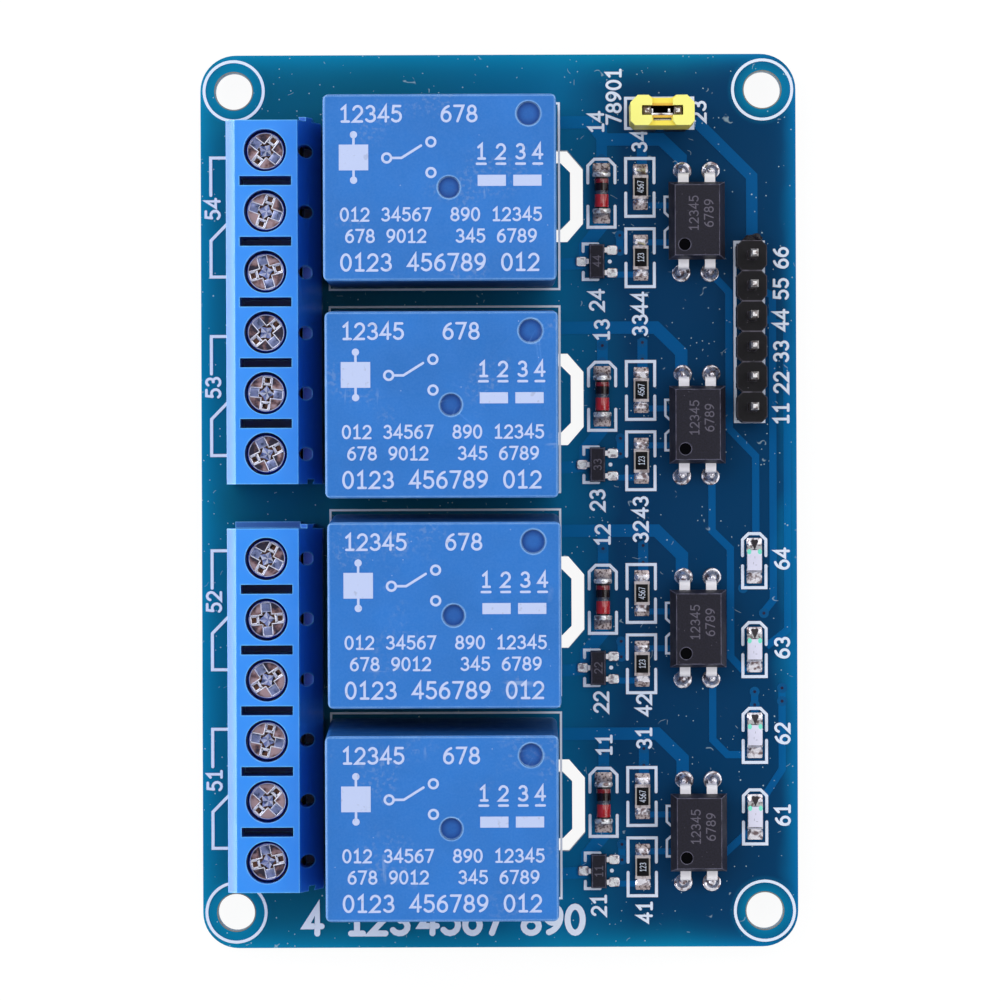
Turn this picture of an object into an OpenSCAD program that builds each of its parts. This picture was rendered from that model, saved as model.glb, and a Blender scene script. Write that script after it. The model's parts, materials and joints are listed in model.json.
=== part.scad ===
// Four-channel relay module board.
// Origin: centre of the four mounting holes, on the board's underside.
// +X towards the control header, -X towards the screw terminals, +Z up from the component side.

/* [Board] */
// Board width, across the screw terminals and the control header
board_w = 50; // [49.5:0.5:54]
// Board length, along the row of relays
board_l = 75; // [74.5:0.5:80]
// Board thickness
board_t = 1.6; // [1.2:0.2:2]
// Radius of the board's corners
corner_r = 3; // [1:0.5:4]
// Mounting hole diameter
mount_d = 3.1; // [2.6:0.1:3.4]
// Mounting hole spacing along X
mount_dx = 44.4; // [44:0.1:45]
// Mounting hole spacing along Y
mount_dy = 69; // [68.5:0.1:70]

/* [Relays] */
// Spacing of the relay channels
channel_pitch = 17.06; // [16:0.02:17.4]
// Relay case length along X
relay_l = 19; // [18.6:0.1:19.4]
// Relay case width along Y
relay_w = 15.2; // [14.8:0.1:15.5]
// Relay case height
relay_h = 15.3; // [14.8:0.1:16.5]
// Relay case wall
relay_wall = 0.8; // [0.5:0.1:1]
// Gap between the board and a relay's lowest edge
relay_gap = 0.3; // [0.2:0.1:0.6]

/* [Screw terminals] */
// Spacing of the poles
pole_pitch = 5; // [4.96:0.01:5.04]
// Poles in each of the two blocks
poles = 6; // [6:1:6]
// Block depth from the wire side to the back
block_d = 7.7; // [7.6:0.1:8]
// Block height above the board
block_h = 10.3; // [10:0.1:11]
// Screw head diameter
screw_d = 3.3; // [3:0.1:3.3]

/* [Pin headers] */
// Spacing of the header pins
pin_pitch = 2.54; // [2.5:0.01:2.58]
// Pins on the control header
control_pins = 6; // [4:1:6]
// Thickness of a header pin
pin_w = 0.64; // [0.5:0.02:0.64]
// Pin length above its plastic strip
pin_rise = 6; // [5.6:0.1:6.4]

/* [Small parts] */
// Optocoupler body along X
opto_w = 4.7; // [4.4:0.1:5]
// Optocoupler body along Y
opto_l = 6.5; // [6.2:0.1:6.8]
// Spacing of the optocoupler's two lead rows
opto_rows = 8.6; // [8.4:0.1:9]
// Chip resistor and light length
chip_l = 2; // [1.8:0.1:2.2]
// Chip resistor and light width
chip_w = 1.25; // [1.1:0.05:1.4]
// Glass diode diameter
diode_d = 1.4; // [1.2:0.1:1.6]

/* [Hidden] */
$fn = 48;
channels = [0, 1, 2, 3];
play = 0.02;

// The cut round each relay's common pin
slot_w = 1.08;
slot_outer = [7.12, 3.85];
slot_cut = [1.33, 1.54];
slot_in_x = 2;

// Relays stand where their pins let them: shift from the channel centre, and lean about X
relay_x = -4.54;
relay_shift = [[-0.2, -0.17], [0.04, -0.13], [-0.12, -0.08], [-0.23, -0.03]];
relay_lean = [3.4, 2.4, 2.25, 0];
common_x = 8.1;
coil_pin_x = 6.1;
contact_pin_x = -6.1;
side_pin_y = 6;
relay_tail = -1.4;
case_r = 0.5;
base_z = [0.15, 1.65];
foot_at = [8, 6.2];
coil_x = 1.2;
yoke_t = 1;
yoke_top = 11.2;
core_top = 10.55;
bobbin_z = [base_z[1] + yoke_t, 10.2];
flange_t = 0.7;
armature_t = 1;
armature_z = 11.25;
case_edge = 0.12;
dimples = [[7.25, 6, 2], [0.75, 0, 1.85]];
dimple_depth = 0.45;

// Screw terminals: the wire side faces -X
block_x = -22.45;
block_y = [-17.2, 16.45];
block_l = poles * pole_pitch;
block_top = [0.75, 5.92];
back_z = 4.6;
screw_x = 3.25;
well_d = 3.5;
chamber = [1.2, 6.2];
chamber_w = 3.4;
chamber_z = [1.2, 7.2];
bracket_w = 3;
bracket_z = [1.2, 7];
screw_z = [5.4, 7.5, 9.1];
terminal_tail = -1.9;
gap_slot = [1.15, 4.25, 0.75];
test_hole = [6.5, 1.1];
test_hole_z = [2.5, 6.8];
started_holes = [3, 9];
end_foot = [5.5, 0.55, 1];

// Headers
header_x = 21.18;
header_y = 14.12;
jumper_x = 13.6;
jumper_y = 32.25;
strip_h = 2.54;
header_tail = -1.9;
cap_size = [5.3, 2.5, 6.1];
saddle = [1.15, 0.85, 0.5];
clip_size = [4.3, 1.76, 4.8];

// Offsets of the small parts from their channel centre
opto_at = [16.6, -2.2];
opto_h = [0.5, 4];
transistor_at = [8.25, -5.5];
diode_at = [8.67, 0.24];
resistor_at = [[11.95, 0.75], [11.95, -5.19]];
light_x = 21.4;
light_y = [-26.62, -19.77, -12.56, -5.09];
light_h = 0.8;
diode_end_d = diode_d + 0.12;
diode_z = diode_end_d / 2;

// ---------- places ----------
function channel_y(k) = (k - 1.5) * channel_pitch;
function pole_y(n) = block_y[floor(n / poles)] + (n % poles - (poles - 1) / 2) * pole_pitch;
function header_pin_y(i) = header_y + (i - (control_pins - 1) / 2) * pin_pitch;
function jumper_pin_x(s) = jumper_x + s * pin_pitch / 2;
function relay_lift(k) = relay_w / 2 * sin(relay_lean[k]);
poles_all = [0 : 2 * poles - 1];

// Puts a relay piece, drawn about the centre of its underside, on channel k
module on_relay(k) {
    translate([relay_x + relay_shift[k].x, channel_y(k) + relay_shift[k].y,
        board_t + relay_gap + relay_lift(k)])
        rotate([relay_lean[k], 0, 0]) children();
}

module on_channel(k, at) {
    translate([at.x, channel_y(k) + at.y, board_t]) children();
}

module on_pole(n) {
    translate([block_x, pole_y(n), board_t]) children();
}

// ---------- shared shapes ----------
// Upright block standing on z = 0 with rounded upright edges
module rounded_block(size, r) {
    translate([0, 0, size.z / 2]) {
        cube([size.x - 2 * r, size.y, size.z], center = true);
        cube([size.x, size.y - 2 * r, size.z], center = true);
        for (sx = [-1, 1], sy = [-1, 1])
            translate([sx * (size.x / 2 - r), sy * (size.y / 2 - r), 0])
                cylinder(r = r, h = size.z, center = true);
    }
}

// Outline in XZ drawn through y = -half to y = half
module across_y(width) {
    rotate([90, 0, 0]) linear_extrude(height = width, center = true) children();
}

// Outline in YZ drawn through x = -half to x = half
module across_x(width) {
    rotate([90, 0, 90]) linear_extrude(height = width, center = true) children();
}

module box_between(a, b) {
    translate(a) cube(b - a);
}

// Half outline of a post of width w from z0 to z1, with chamfered ends
module post_outline(w, z0, z1, taper) {
    polygon([[-w / 2 + taper, z0], [w / 2 - taper, z0], [w / 2, z0 + 2 * taper],
        [w / 2, z1 - 2 * taper], [w / 2 - taper, z1], [-w / 2 + taper, z1],
        [-w / 2, z1 - 2 * taper], [-w / 2, z0 + 2 * taper]]);
}

// Square pin with pointed ends
module square_pin(w, z0, z1) {
    intersection() {
        across_y(w) post_outline(w, z0, z1, w / 4);
        across_x(w) post_outline(w, z0, z1, w / 4);
    }
}

// Solder cone under the board round a pin
module solder_cone(r, bore) {
    difference() {
        translate([0, 0, -1.1]) cylinder(r1 = bore / 2 + 0.12, r2 = r, h = 1.1);
        translate([0, 0, -2]) cylinder(d = bore, h = 3);
    }
}

// ---------- pin places, shared by the holes and the solder ----------
module at_relay_blades() {
    for (k = channels) translate([relay_x, channel_y(k), 0]) {
        translate([common_x, 0, 0]) children();
        for (s = [-1, 1]) translate([contact_pin_x, s * side_pin_y, 0]) children();
    }
}

module at_relay_coil_pins() {
    for (k = channels, s = [-1, 1])
        translate([relay_x + coil_pin_x, channel_y(k) + s * side_pin_y, 0]) children();
}

module at_terminal_pins() {
    for (n = poles_all) translate([block_x + screw_x, pole_y(n), 0]) children();
}

module at_header_pins() {
    for (i = [0 : control_pins - 1]) translate([header_x, header_pin_y(i), 0]) children();
}

module at_jumper_pins() {
    for (s = [-1, 1]) translate([jumper_pin_x(s), jumper_y, 0]) children();
}

module at_opto_pins() {
    for (k = channels, sx = [-1, 1], sy = [-1, 1])
        translate([opto_at.x + sx * pin_pitch / 2, channel_y(k) + opto_at.y + sy * opto_rows / 2, 0])
            children();
}

// ---------- board ----------
// C-shaped cut that keeps the mains side away from the coil side
module isolation_slot() {
    outer = [slot_outer.x, slot_outer.y];
    inner = [slot_outer.x - slot_w, slot_outer.y - slot_w];
    steep = slot_cut.x - slot_w / 2;
    linear_extrude(height = 3 * board_t, center = true) {
        difference() {
            polygon([[slot_in_x, -outer.y], [outer.x - slot_cut.x, -outer.y],
                [outer.x, -outer.y + slot_cut.y], [outer.x, outer.y - slot_cut.y],
                [outer.x - slot_cut.x, outer.y], [slot_in_x, outer.y]]);
            polygon([[slot_in_x - 1, -inner.y], [inner.x - steep, -inner.y],
                [inner.x, -inner.y + steep], [inner.x, inner.y - steep],
                [inner.x - steep, inner.y], [slot_in_x - 1, inner.y]]);
        }
        for (s = [-1, 1]) translate([slot_in_x, s * (outer.y - slot_w / 2)]) circle(d = slot_w);
    }
}

module pin_hole(d) {
    translate([0, 0, -1]) cylinder(d = d, h = board_t + 2);
}

module circuit_board() {
    color("#0b4a72") difference() {
        rounded_block([board_w, board_l, board_t], corner_r);
        for (sx = [-1, 1], sy = [-1, 1])
            translate([sx * mount_dx / 2, sy * mount_dy / 2, 0]) pin_hole(mount_d);
        for (k = channels) translate([0, channel_y(k), 0]) isolation_slot();
        at_relay_blades() pin_hole(1.6);
        at_relay_coil_pins() pin_hole(1.2);
        at_terminal_pins() pin_hole(1.4);
        at_header_pins() pin_hole(1);
        at_jumper_pins() pin_hole(1);
        at_opto_pins() pin_hole(0.9);
    }
}

module solder_joints() {
    color("silver") {
        at_relay_blades() solder_cone(1.25, 1.6);
        at_relay_coil_pins() solder_cone(1, 1.2);
        at_terminal_pins() solder_cone(1.2, 1.4);
        at_header_pins() solder_cone(0.85, 1);
        at_jumper_pins() solder_cone(0.85, 1);
        at_opto_pins() solder_cone(0.8, 0.9);
    }
}

// ---------- screw terminals ----------
module block_outline() {
    polygon([[0, 0], [block_d, 0], [block_d, back_z], [block_top[1], block_h],
        [block_top[0], block_h], [0, block_h - block_top[0]]]);
}

// Dovetail that locks one block to the next
module dovetail(grow) {
    reach = 0.35 + grow;
    translate([6.5, 0, 0]) linear_extrude(height = 8.2)
        polygon([[-0.4 - grow, -0.1], [0.4 + grow, -0.1], [0.55 + grow, reach], [-0.55 - grow, reach]]);
}

// Everything cut out of a housing for pole n. The test holes of the middle poles are only started
module pole_cuts(n) {
    started = n >= started_holes[0] && n <= started_holes[1];
    translate([screw_x, 0, chamber_z[1] - 1]) cylinder(d = well_d, h = block_h);
    box_between([chamber[0], -chamber_w / 2, chamber_z[0]], [chamber[1], chamber_w / 2, chamber_z[1]]);
    box_between([-1, -1.5, 1.6], [chamber[0] + 0.1, 1.5, 5]);
    box_between([-1, -1.75, 1.35], [0.4, 1.75, 5.25]);
    box_between([screw_x - 0.7, -0.7, -1], [screw_x + 0.7, 0.7, chamber_z[0] + 0.1]);
    translate([test_hole[0], 0, test_hole_z[started ? 1 : 0]]) cylinder(d = test_hole[1], h = block_h);
}

// One row of poles in its housing, with a low foot out from its far end
module terminal_housing(b) {
    color("royalblue") difference() {
        union() {
            translate([block_x, block_y[b], board_t]) across_y(block_l) block_outline();
            translate([block_x + 0.3, block_y[b] + block_l / 2 - 0.1, board_t])
                cube([end_foot[0], end_foot[1] + 0.1, end_foot[2]]);
            intersection() {
                translate([block_x, block_y[b] + block_l / 2, board_t]) dovetail(0);
                translate([block_x, block_y[b], board_t]) across_y(block_l + 2) block_outline();
            }
        }
        for (n = [b * poles : (b + 1) * poles - 1]) on_pole(n) pole_cuts(n);
        for (i = [1 : poles - 1])
            translate([block_x + gap_slot[0], block_y[b] - block_l / 2 + i * pole_pitch - gap_slot[2] / 2,
                board_t + 3.5]) cube([gap_slot[1], gap_slot[2], block_h]);
        translate([block_x, block_y[b] - block_l / 2, board_t - 0.1]) dovetail(0.05);
    }
}

// Folded brass clamp body with its threaded top and its solder pin
module terminal_bracket() {
    difference() {
        union() {
            box_between([1.6, -bracket_w / 2, bracket_z[0]], [6, bracket_w / 2, bracket_z[0] + 0.6]);
            box_between([5.4, -bracket_w / 2, bracket_z[0]], [6, bracket_w / 2, bracket_z[1]]);
            box_between([1.6, -bracket_w / 2, bracket_z[1] - 1], [6, bracket_w / 2, bracket_z[1]]);
            box_between([screw_x - 0.35, -0.45, terminal_tail - board_t],
                [screw_x + 0.35, 0.45, bracket_z[0] + 0.1]);
        }
        translate([screw_x, 0, bracket_z[1] - 2]) cylinder(d = 2.6, h = 3);
    }
}

module terminal_brackets() {
    color("gold") for (n = poles_all) on_pole(n) terminal_bracket();
}

// Sprung strip that the screw presses on to the wire
module wire_guards() {
    color("silver") for (n = poles_all) on_pole(n) {
        box_between([1.9, -1.3, 5], [5.2, 1.3, 5.25]);
        box_between([4.95, -1.3, bracket_z[0] + 0.6], [5.2, 1.3, 5.1]);
    }
}

module screw_head_cut(w, l, depth) {
    translate([0, 0, -depth / 2]) cube([l, w, depth + 0.02], center = true);
}

// Clamp screw with a cross recess that also takes a flat blade
module terminal_screw(n) {
    turn = [12, 47, 78, 33, 5, 62, 25, 84, 40, 16, 70, 52][n];
    color("silver") on_pole(n) translate([screw_x, 0, 0]) difference() {
        union() {
            translate([0, 0, screw_z[0]]) cylinder(d = 2.5, h = screw_z[1] - screw_z[0]);
            translate([0, 0, screw_z[1]]) cylinder(d = screw_d, h = screw_z[2] - screw_z[1] - 0.3);
            translate([0, 0, screw_z[2] - 0.3]) cylinder(d1 = screw_d, d2 = screw_d - 0.5, h = 0.3);
        }
        translate([0, 0, screw_z[2]]) rotate(turn) {
            screw_head_cut(0.62, screw_d + 1, 0.7);
            rotate(90) screw_head_cut(0.55, 2, 0.9);
        }
    }
}

// ---------- relays ----------
module case_profile(width) {
    half = width / 2;
    polygon([[-half, 0], [half, 0], [half, relay_h - case_edge], [half - case_edge, relay_h],
        [-half + case_edge, relay_h], [-half, relay_h - case_edge]]);
}

module relay_case(k) {
    inner = [relay_l - 2 * relay_wall, relay_w - 2 * relay_wall, relay_h - relay_wall];
    color("cornflowerblue") on_relay(k) difference() {
        intersection() {
            rounded_block([relay_l, relay_w, relay_h], case_r);
            across_y(relay_w + 1) case_profile(relay_l);
            across_x(relay_l + 1) case_profile(relay_w);
        }
        translate([0, 0, inner.z / 2 - 0.5]) cube([inner.x, inner.y, inner.z + 1], center = true);
        for (d = dimples) translate([d[0], d[1], relay_h - dimple_depth]) cylinder(d = d[2], h = 1);
    }
}

module at_blade_holes() {
    translate([common_x, 0, 0]) children();
    for (s = [-1, 1]) translate([contact_pin_x, s * side_pin_y, 0]) children();
}

// Sealing base with four small feet
module relay_base(k) {
    size = [relay_l - 2 * relay_wall - 0.06, relay_w - 2 * relay_wall - 0.06, base_z[1] - base_z[0]];
    color("midnightblue") on_relay(k) {
        difference() {
            translate([0, 0, base_z[0]]) rounded_block(size, 0.3);
            at_blade_holes() cube([0.54, 0.94, 8], center = true);
            for (s = [-1, 1]) translate([coil_pin_x, s * side_pin_y, -1]) cylinder(d = 0.64, h = 4);
        }
        for (sx = [-1, 1], sy = [-1, 1]) translate([sx * foot_at.x, sy * foot_at.y, -relay_gap])
            cylinder(d = 1, h = relay_gap + base_z[0] + 0.1);
    }
}

function relay_tail_z(k) = relay_tail - board_t - relay_gap - relay_lift(k);

// L-shaped steel frame, riveted core and the common pin
module relay_yokes() {
    color("gray") for (k = channels) on_relay(k) {
        box_between([-3, -4.2, base_z[1]], [7.6, 4.2, bobbin_z[0]]);
        box_between([7.6 - yoke_t, -4.2, base_z[1]], [7.6, 4.2, yoke_top]);
        translate([coil_x, 0, base_z[1] + 0.5]) cylinder(d = 3.2, h = core_top - base_z[1] - 0.5);
        box_between([7.5, -0.45, base_z[1]], [common_x + 0.25, 0.45, 2.4]);
        box_between([common_x - 0.25, -0.45, relay_tail_z(k)], [common_x + 0.25, 0.45, 2.4]);
    }
}

module relay_bobbins() {
    color("ivory") for (k = channels) on_relay(k) translate([coil_x, 0, 0]) difference() {
        union() {
            translate([0, 0, bobbin_z[0]]) cylinder(d = 4.6, h = bobbin_z[1] - bobbin_z[0]);
            for (z = [bobbin_z[0], bobbin_z[1] - flange_t])
                translate([0, 0, z]) rounded_block([8.4, 8.4, flange_t], 1);
        }
        cylinder(d = 3.3, h = relay_h);
    }
}

module relay_windings() {
    wound = [bobbin_z[0] + flange_t, bobbin_z[1] - flange_t];
    color("peru") for (k = channels) on_relay(k) translate([coil_x, 0, wound[0]]) difference() {
        cylinder(d = 8, h = wound[1] - wound[0]);
        translate([0, 0, -1]) cylinder(d = 4.66, h = relay_h);
    }
}

// Steel plate with its contact blade; it tips about the top edge of the yoke
module relay_armature(k) {
    color("silver") on_relay(k) {
        box_between([-3, -3.9, armature_z], [7.6, 3.9, armature_z + armature_t]);
        box_between([-7.1, -1.5, armature_z + 0.3], [-2.9, 1.5, armature_z + 0.6]);
        translate([contact_pin_x, 0, armature_z - 0.1]) cylinder(d = 2, h = 1.3);
    }
}

// Fixed contacts: one above the moving contact, one below it
module relay_contacts() {
    high = armature_z + 1.35;
    low = 9.6;
    color("gold") for (k = channels) on_relay(k) {
        for (side = [[1, high + 0.6], [-1, low - 0.6]]) {
            y = side[0] * side_pin_y;
            box_between([contact_pin_x - 0.25, y - 0.45, relay_tail_z(k)],
                [contact_pin_x + 0.25, y + 0.45, side[1]]);
            box_between([contact_pin_x - 0.6, min(y, -0.6 * side[0]), side[1] - 0.3],
                [contact_pin_x + 0.6, max(y, -0.6 * side[0]), side[1] + 0.2]);
        }
        translate([contact_pin_x, 0, high]) cylinder(d = 1.8, h = 0.5);
        translate([contact_pin_x, 0, low - 0.5]) cylinder(d = 1.8, h = 0.5);
    }
}

module relay_coil_pins() {
    color("silver") for (k = channels, s = [-1, 1])
        on_relay(k) translate([coil_pin_x, s * side_pin_y, relay_tail_z(k)])
            cylinder(d = 0.6, h = bobbin_z[0] - relay_tail_z(k));
}

// ---------- headers ----------
// One cell of a header's plastic strip, with cut corners
module strip_cell(h) {
    half = pin_pitch / 2;
    cut = 0.45;
    linear_extrude(height = h)
        polygon([[-half, -half + cut], [-half + cut, -half], [half - cut, -half], [half, -half + cut],
            [half, half - cut], [half - cut, half], [-half + cut, half], [-half, half - cut]]);
}

module pin_bore() {
    translate([0, 0, strip_h / 2]) cube([pin_w + play, pin_w + play, 2 * strip_h], center = true);
}

module header_strip() {
    color("#1c1a1e") translate([0, 0, board_t]) difference() {
        at_header_pins() strip_cell(strip_h);
        at_header_pins() pin_bore();
    }
}

module header_pins() {
    color("gold") at_header_pins() square_pin(pin_w, header_tail, board_t + strip_h + pin_rise);
}

module jumper_strip() {
    color("#1c1a1e") translate([0, 0, board_t]) difference() {
        at_jumper_pins() strip_cell(strip_h);
        at_jumper_pins() pin_bore();
    }
}

module jumper_pins() {
    color("gold") at_jumper_pins() square_pin(pin_w, header_tail, board_t + strip_h + pin_rise);
}

module on_jumper() {
    translate([jumper_x, jumper_y, board_t + strip_h + 0.05]) children();
}

// Dip across the middle of the cap, wider at its two ends
module cap_saddle() {
    end = cap_size.y / 2;
    inner = end - 0.35;
    for (turn = [0, 180]) rotate(turn) translate([0, 0, cap_size.z - saddle[2]]) linear_extrude(height = 1)
        polygon([[0, -inner], [saddle[1], -inner], [saddle[0], -end], [saddle[0], -end - 1],
            [-saddle[0], -end - 1], [-saddle[0], -end], [-saddle[1], -inner],
            [-saddle[1], inner], [0, inner]]);
}

// Pull-off cap: a waisted shell with a window over the pin tips
module jumper_cap() {
    half = [cap_size.x / 2, cap_size.y / 2];
    color("yellow") on_jumper() difference() {
        linear_extrude(height = cap_size.z)
            polygon([[-half.x, -half.y + 0.35], [-half.x + 0.35, -half.y], [half.x - 0.35, -half.y],
                [half.x, -half.y + 0.35], [half.x, half.y - 0.6], [half.x - 0.6, half.y],
                [1.1, half.y], [0.8, half.y - 0.2], [-0.8, half.y - 0.2], [-1.1, half.y],
                [-half.x + 0.6, half.y], [-half.x, half.y - 0.6]]);
        translate([0, 0, 2.6]) cube([clip_size.x, clip_size.y, 5.4], center = true);
        translate([0, 0, 5]) cube([3.4, 0.8, 4], center = true);
        translate([0, -0.72, 5]) cube([1.5, 0.24, 4], center = true);
        cap_saddle();
    }
}

// Folded spring strip that joins the two pins
module jumper_clip() {
    color("silver") on_jumper() translate([0, 0, 0.4]) {
        difference() {
            translate([0, 0, clip_size.z / 2]) cube(clip_size, center = true);
            translate([0, 0, clip_size.z / 2]) cube([3.7, 1.2, clip_size.z + 1], center = true);
            translate([0, 0, 1.9]) cube([0.5, clip_size.y + 1, 3.6], center = true);
        }
    }
}

// ---------- small parts ----------
// Moulded body with a draft above and below its parting line
module draft_outline(w, z0, z1, draft) {
    middle = (z0 + z1) / 2;
    polygon([[-w / 2 + draft, z0], [w / 2 - draft, z0], [w / 2, middle], [w / 2 - draft, z1],
        [-w / 2 + draft, z1], [-w / 2, middle]]);
}

module moulded_body(w, l, z0, z1, draft) {
    intersection() {
        across_y(l + 1) draft_outline(w, z0, z1, draft.x);
        across_x(w + 1) draft_outline(l, z0, z1, draft.y);
    }
}

module optocoupler(k) {
    color("#3a353b") on_channel(k, opto_at) difference() {
        moulded_body(opto_w, opto_l, opto_h[0], opto_h[1], [0.48, 0.3]);
        translate([-1.06, -2.04, opto_h[1] - 0.12]) cylinder(d = 1, h = 1);
    }
}

// Flat lead that leaves the body, turns down and ends in a thin tail
module optocoupler_leads() {
    lead_t = 0.25;
    lead_z = (opto_h[0] + opto_h[1]) / 2;
    color("silver") for (k = channels, sx = [-1, 1], sy = [-1, 1]) on_channel(k, opto_at)
        scale([sx, sy, 1]) translate([pin_pitch / 2, 0, 0]) {
            box_between([-0.6, opto_l / 2, lead_z - lead_t / 2],
                [0.28, opto_rows / 2 + lead_t / 2, lead_z + lead_t / 2]);
            box_between([-0.6, opto_rows / 2 - lead_t / 2, 0.5], [0.28, opto_rows / 2 + lead_t / 2, lead_z]);
            box_between([-0.25, opto_rows / 2 - lead_t / 2, -board_t - 1.3],
                [0.25, opto_rows / 2 + lead_t / 2, 0.6]);
        }
}

module transistor(k) {
    color("#221d22") on_channel(k, transistor_at) moulded_body(1.3, 2.9, 0.08, 1.05, [0.08, 0.08]);
}

// Three bent leads: one on the left, two on the right
module transistor_leads() {
    color("silver") for (k = channels) on_channel(k, transistor_at)
        for (lead = [[-1, 0], [1, 0.95], [1, -0.95]])
            scale([lead[0], 1, 1]) translate([0, lead[1], 0]) {
                box_between([0.65, -0.21, 0.5], [0.85, 0.21, 0.64]);
                box_between([0.72, -0.21, 0], [0.86, 0.21, 0.64]);
                box_between([0.72, -0.21, 0], [1.25, 0.21, 0.14]);
            }
}

module along_y(l) {
    rotate([90, 0, 0]) translate([0, 0, -l / 2]) children();
}

module diode_glasses() {
    color("firebrick") for (k = channels) on_channel(k, diode_at)
        translate([0, 0, diode_z]) along_y(2.6) cylinder(d = diode_d, h = 2.6);
}

module diode_ends() {
    color("silver") for (k = channels, s = [-1, 1]) on_channel(k, diode_at)
        translate([0, s * 1.53, diode_z]) along_y(0.46) cylinder(d = diode_end_d, h = 0.46);
}

module chip_body(l, w, h) {
    box_between([-w / 2, -l / 2 + 0.3, 0.03], [w / 2, l / 2 - 0.3, h]);
}

module chip_ends(l, w, h) {
    for (s = [-1, 1]) translate([0, s * (l / 2 - 0.15), (h + 0.04) / 2])
        cube([w + 0.04, 0.3, h + 0.04], center = true);
}

module at_resistors() {
    for (k = channels, r = resistor_at) on_channel(k, r) children();
}

module at_lights() {
    for (y = light_y) translate([light_x, y, board_t]) children();
}

module resistor_bodies() {
    color("#26232a") at_resistors() chip_body(chip_l, chip_w, 0.5);
}

module resistor_ends() {
    color("silver") at_resistors() chip_ends(chip_l, chip_w, 0.5);
}

module light_bodies() {
    color("white") at_lights() chip_body(chip_l, chip_w, light_h);
}

module light_ends() {
    color("silver") at_lights() chip_ends(chip_l, chip_w, 0.35);
}

circuit_board();
solder_joints();
terminal_housing(0);  // terminal_housing_lower
terminal_housing(1);  // terminal_housing_upper
terminal_brackets();
wire_guards();
terminal_screw(0);  // terminal_screw_01
terminal_screw(1);  // terminal_screw_02
terminal_screw(2);  // terminal_screw_03
terminal_screw(3);  // terminal_screw_04
terminal_screw(4);  // terminal_screw_05
terminal_screw(5);  // terminal_screw_06
terminal_screw(6);  // terminal_screw_07
terminal_screw(7);  // terminal_screw_08
terminal_screw(8);  // terminal_screw_09
terminal_screw(9);  // terminal_screw_10
terminal_screw(10);  // terminal_screw_11
terminal_screw(11);  // terminal_screw_12
relay_case(0);  // relay_case_1
relay_case(1);  // relay_case_2
relay_case(2);  // relay_case_3
relay_case(3);  // relay_case_4
relay_base(0);  // relay_base_1
relay_base(1);  // relay_base_2
relay_base(2);  // relay_base_3
relay_base(3);  // relay_base_4
relay_armature(0);  // relay_armature_1
relay_armature(1);  // relay_armature_2
relay_armature(2);  // relay_armature_3
relay_armature(3);  // relay_armature_4
relay_yokes();
relay_bobbins();
relay_windings();
relay_contacts();
relay_coil_pins();
header_strip();
header_pins();
jumper_strip();
jumper_pins();
jumper_cap();
jumper_clip();
optocoupler(0);  // optocoupler_1
optocoupler(1);  // optocoupler_2
optocoupler(2);  // optocoupler_3
optocoupler(3);  // optocoupler_4
optocoupler_leads();
transistor(0);  // transistor_1
transistor(1);  // transistor_2
transistor(2);  // transistor_3
transistor(3);  // transistor_4
transistor_leads();
diode_glasses();
diode_ends();
resistor_bodies();
resistor_ends();
light_bodies();
light_ends();
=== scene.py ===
"""Looks of a four-channel relay module board: finish, solder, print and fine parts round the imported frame.

Shapes are drawn in millimetres, in the frame's own axes, and scaled to metres as each piece is made.
"""
import json
import math

import bmesh
import bpy
from mathutils import Matrix, Vector


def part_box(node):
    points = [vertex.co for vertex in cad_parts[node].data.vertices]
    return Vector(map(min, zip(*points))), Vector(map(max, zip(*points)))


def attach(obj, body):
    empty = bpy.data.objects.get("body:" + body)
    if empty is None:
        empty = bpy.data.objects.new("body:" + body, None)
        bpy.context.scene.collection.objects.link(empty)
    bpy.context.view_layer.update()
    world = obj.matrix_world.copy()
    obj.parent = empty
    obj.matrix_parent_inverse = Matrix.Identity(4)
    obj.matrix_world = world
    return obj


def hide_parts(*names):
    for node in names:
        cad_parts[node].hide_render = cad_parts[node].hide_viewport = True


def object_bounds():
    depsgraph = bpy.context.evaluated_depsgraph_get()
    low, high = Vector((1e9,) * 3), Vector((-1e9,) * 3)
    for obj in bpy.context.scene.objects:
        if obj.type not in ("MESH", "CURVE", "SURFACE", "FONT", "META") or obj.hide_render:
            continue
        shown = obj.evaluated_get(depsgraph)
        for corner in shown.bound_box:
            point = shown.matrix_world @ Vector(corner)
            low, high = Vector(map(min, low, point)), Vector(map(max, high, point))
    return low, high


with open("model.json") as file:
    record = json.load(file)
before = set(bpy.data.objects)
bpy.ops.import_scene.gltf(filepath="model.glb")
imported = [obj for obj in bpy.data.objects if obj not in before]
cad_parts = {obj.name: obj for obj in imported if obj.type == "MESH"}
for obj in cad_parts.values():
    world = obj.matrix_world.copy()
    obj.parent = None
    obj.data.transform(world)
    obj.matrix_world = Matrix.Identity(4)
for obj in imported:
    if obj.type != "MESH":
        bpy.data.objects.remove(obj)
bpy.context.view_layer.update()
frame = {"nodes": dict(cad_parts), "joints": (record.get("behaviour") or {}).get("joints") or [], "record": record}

MM = 0.001
BOARD = "board"
CHANNELS = range(4)
POLES = range(12)

# Heights of thin layers above the board
TRACE_T = 0.05
INK_T = 0.085
INK_STEP = 0.0008


# ---------- places, from the frame ----------
def box_mm(node):
    """Lowest and highest corner of a CAD node, in millimetres."""
    low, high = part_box(node)
    return low / MM, high / MM


def centre_mm(node):
    low, high = box_mm(node)
    return (low + high) / 2


def middle_of(low, high):
    """X and Y of the middle of a box."""
    return (low.x + high.x) / 2, (low.y + high.y) / 2


def turned(degrees, axis="Z"):
    return Matrix.Rotation(math.radians(degrees), 4, axis)


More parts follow.
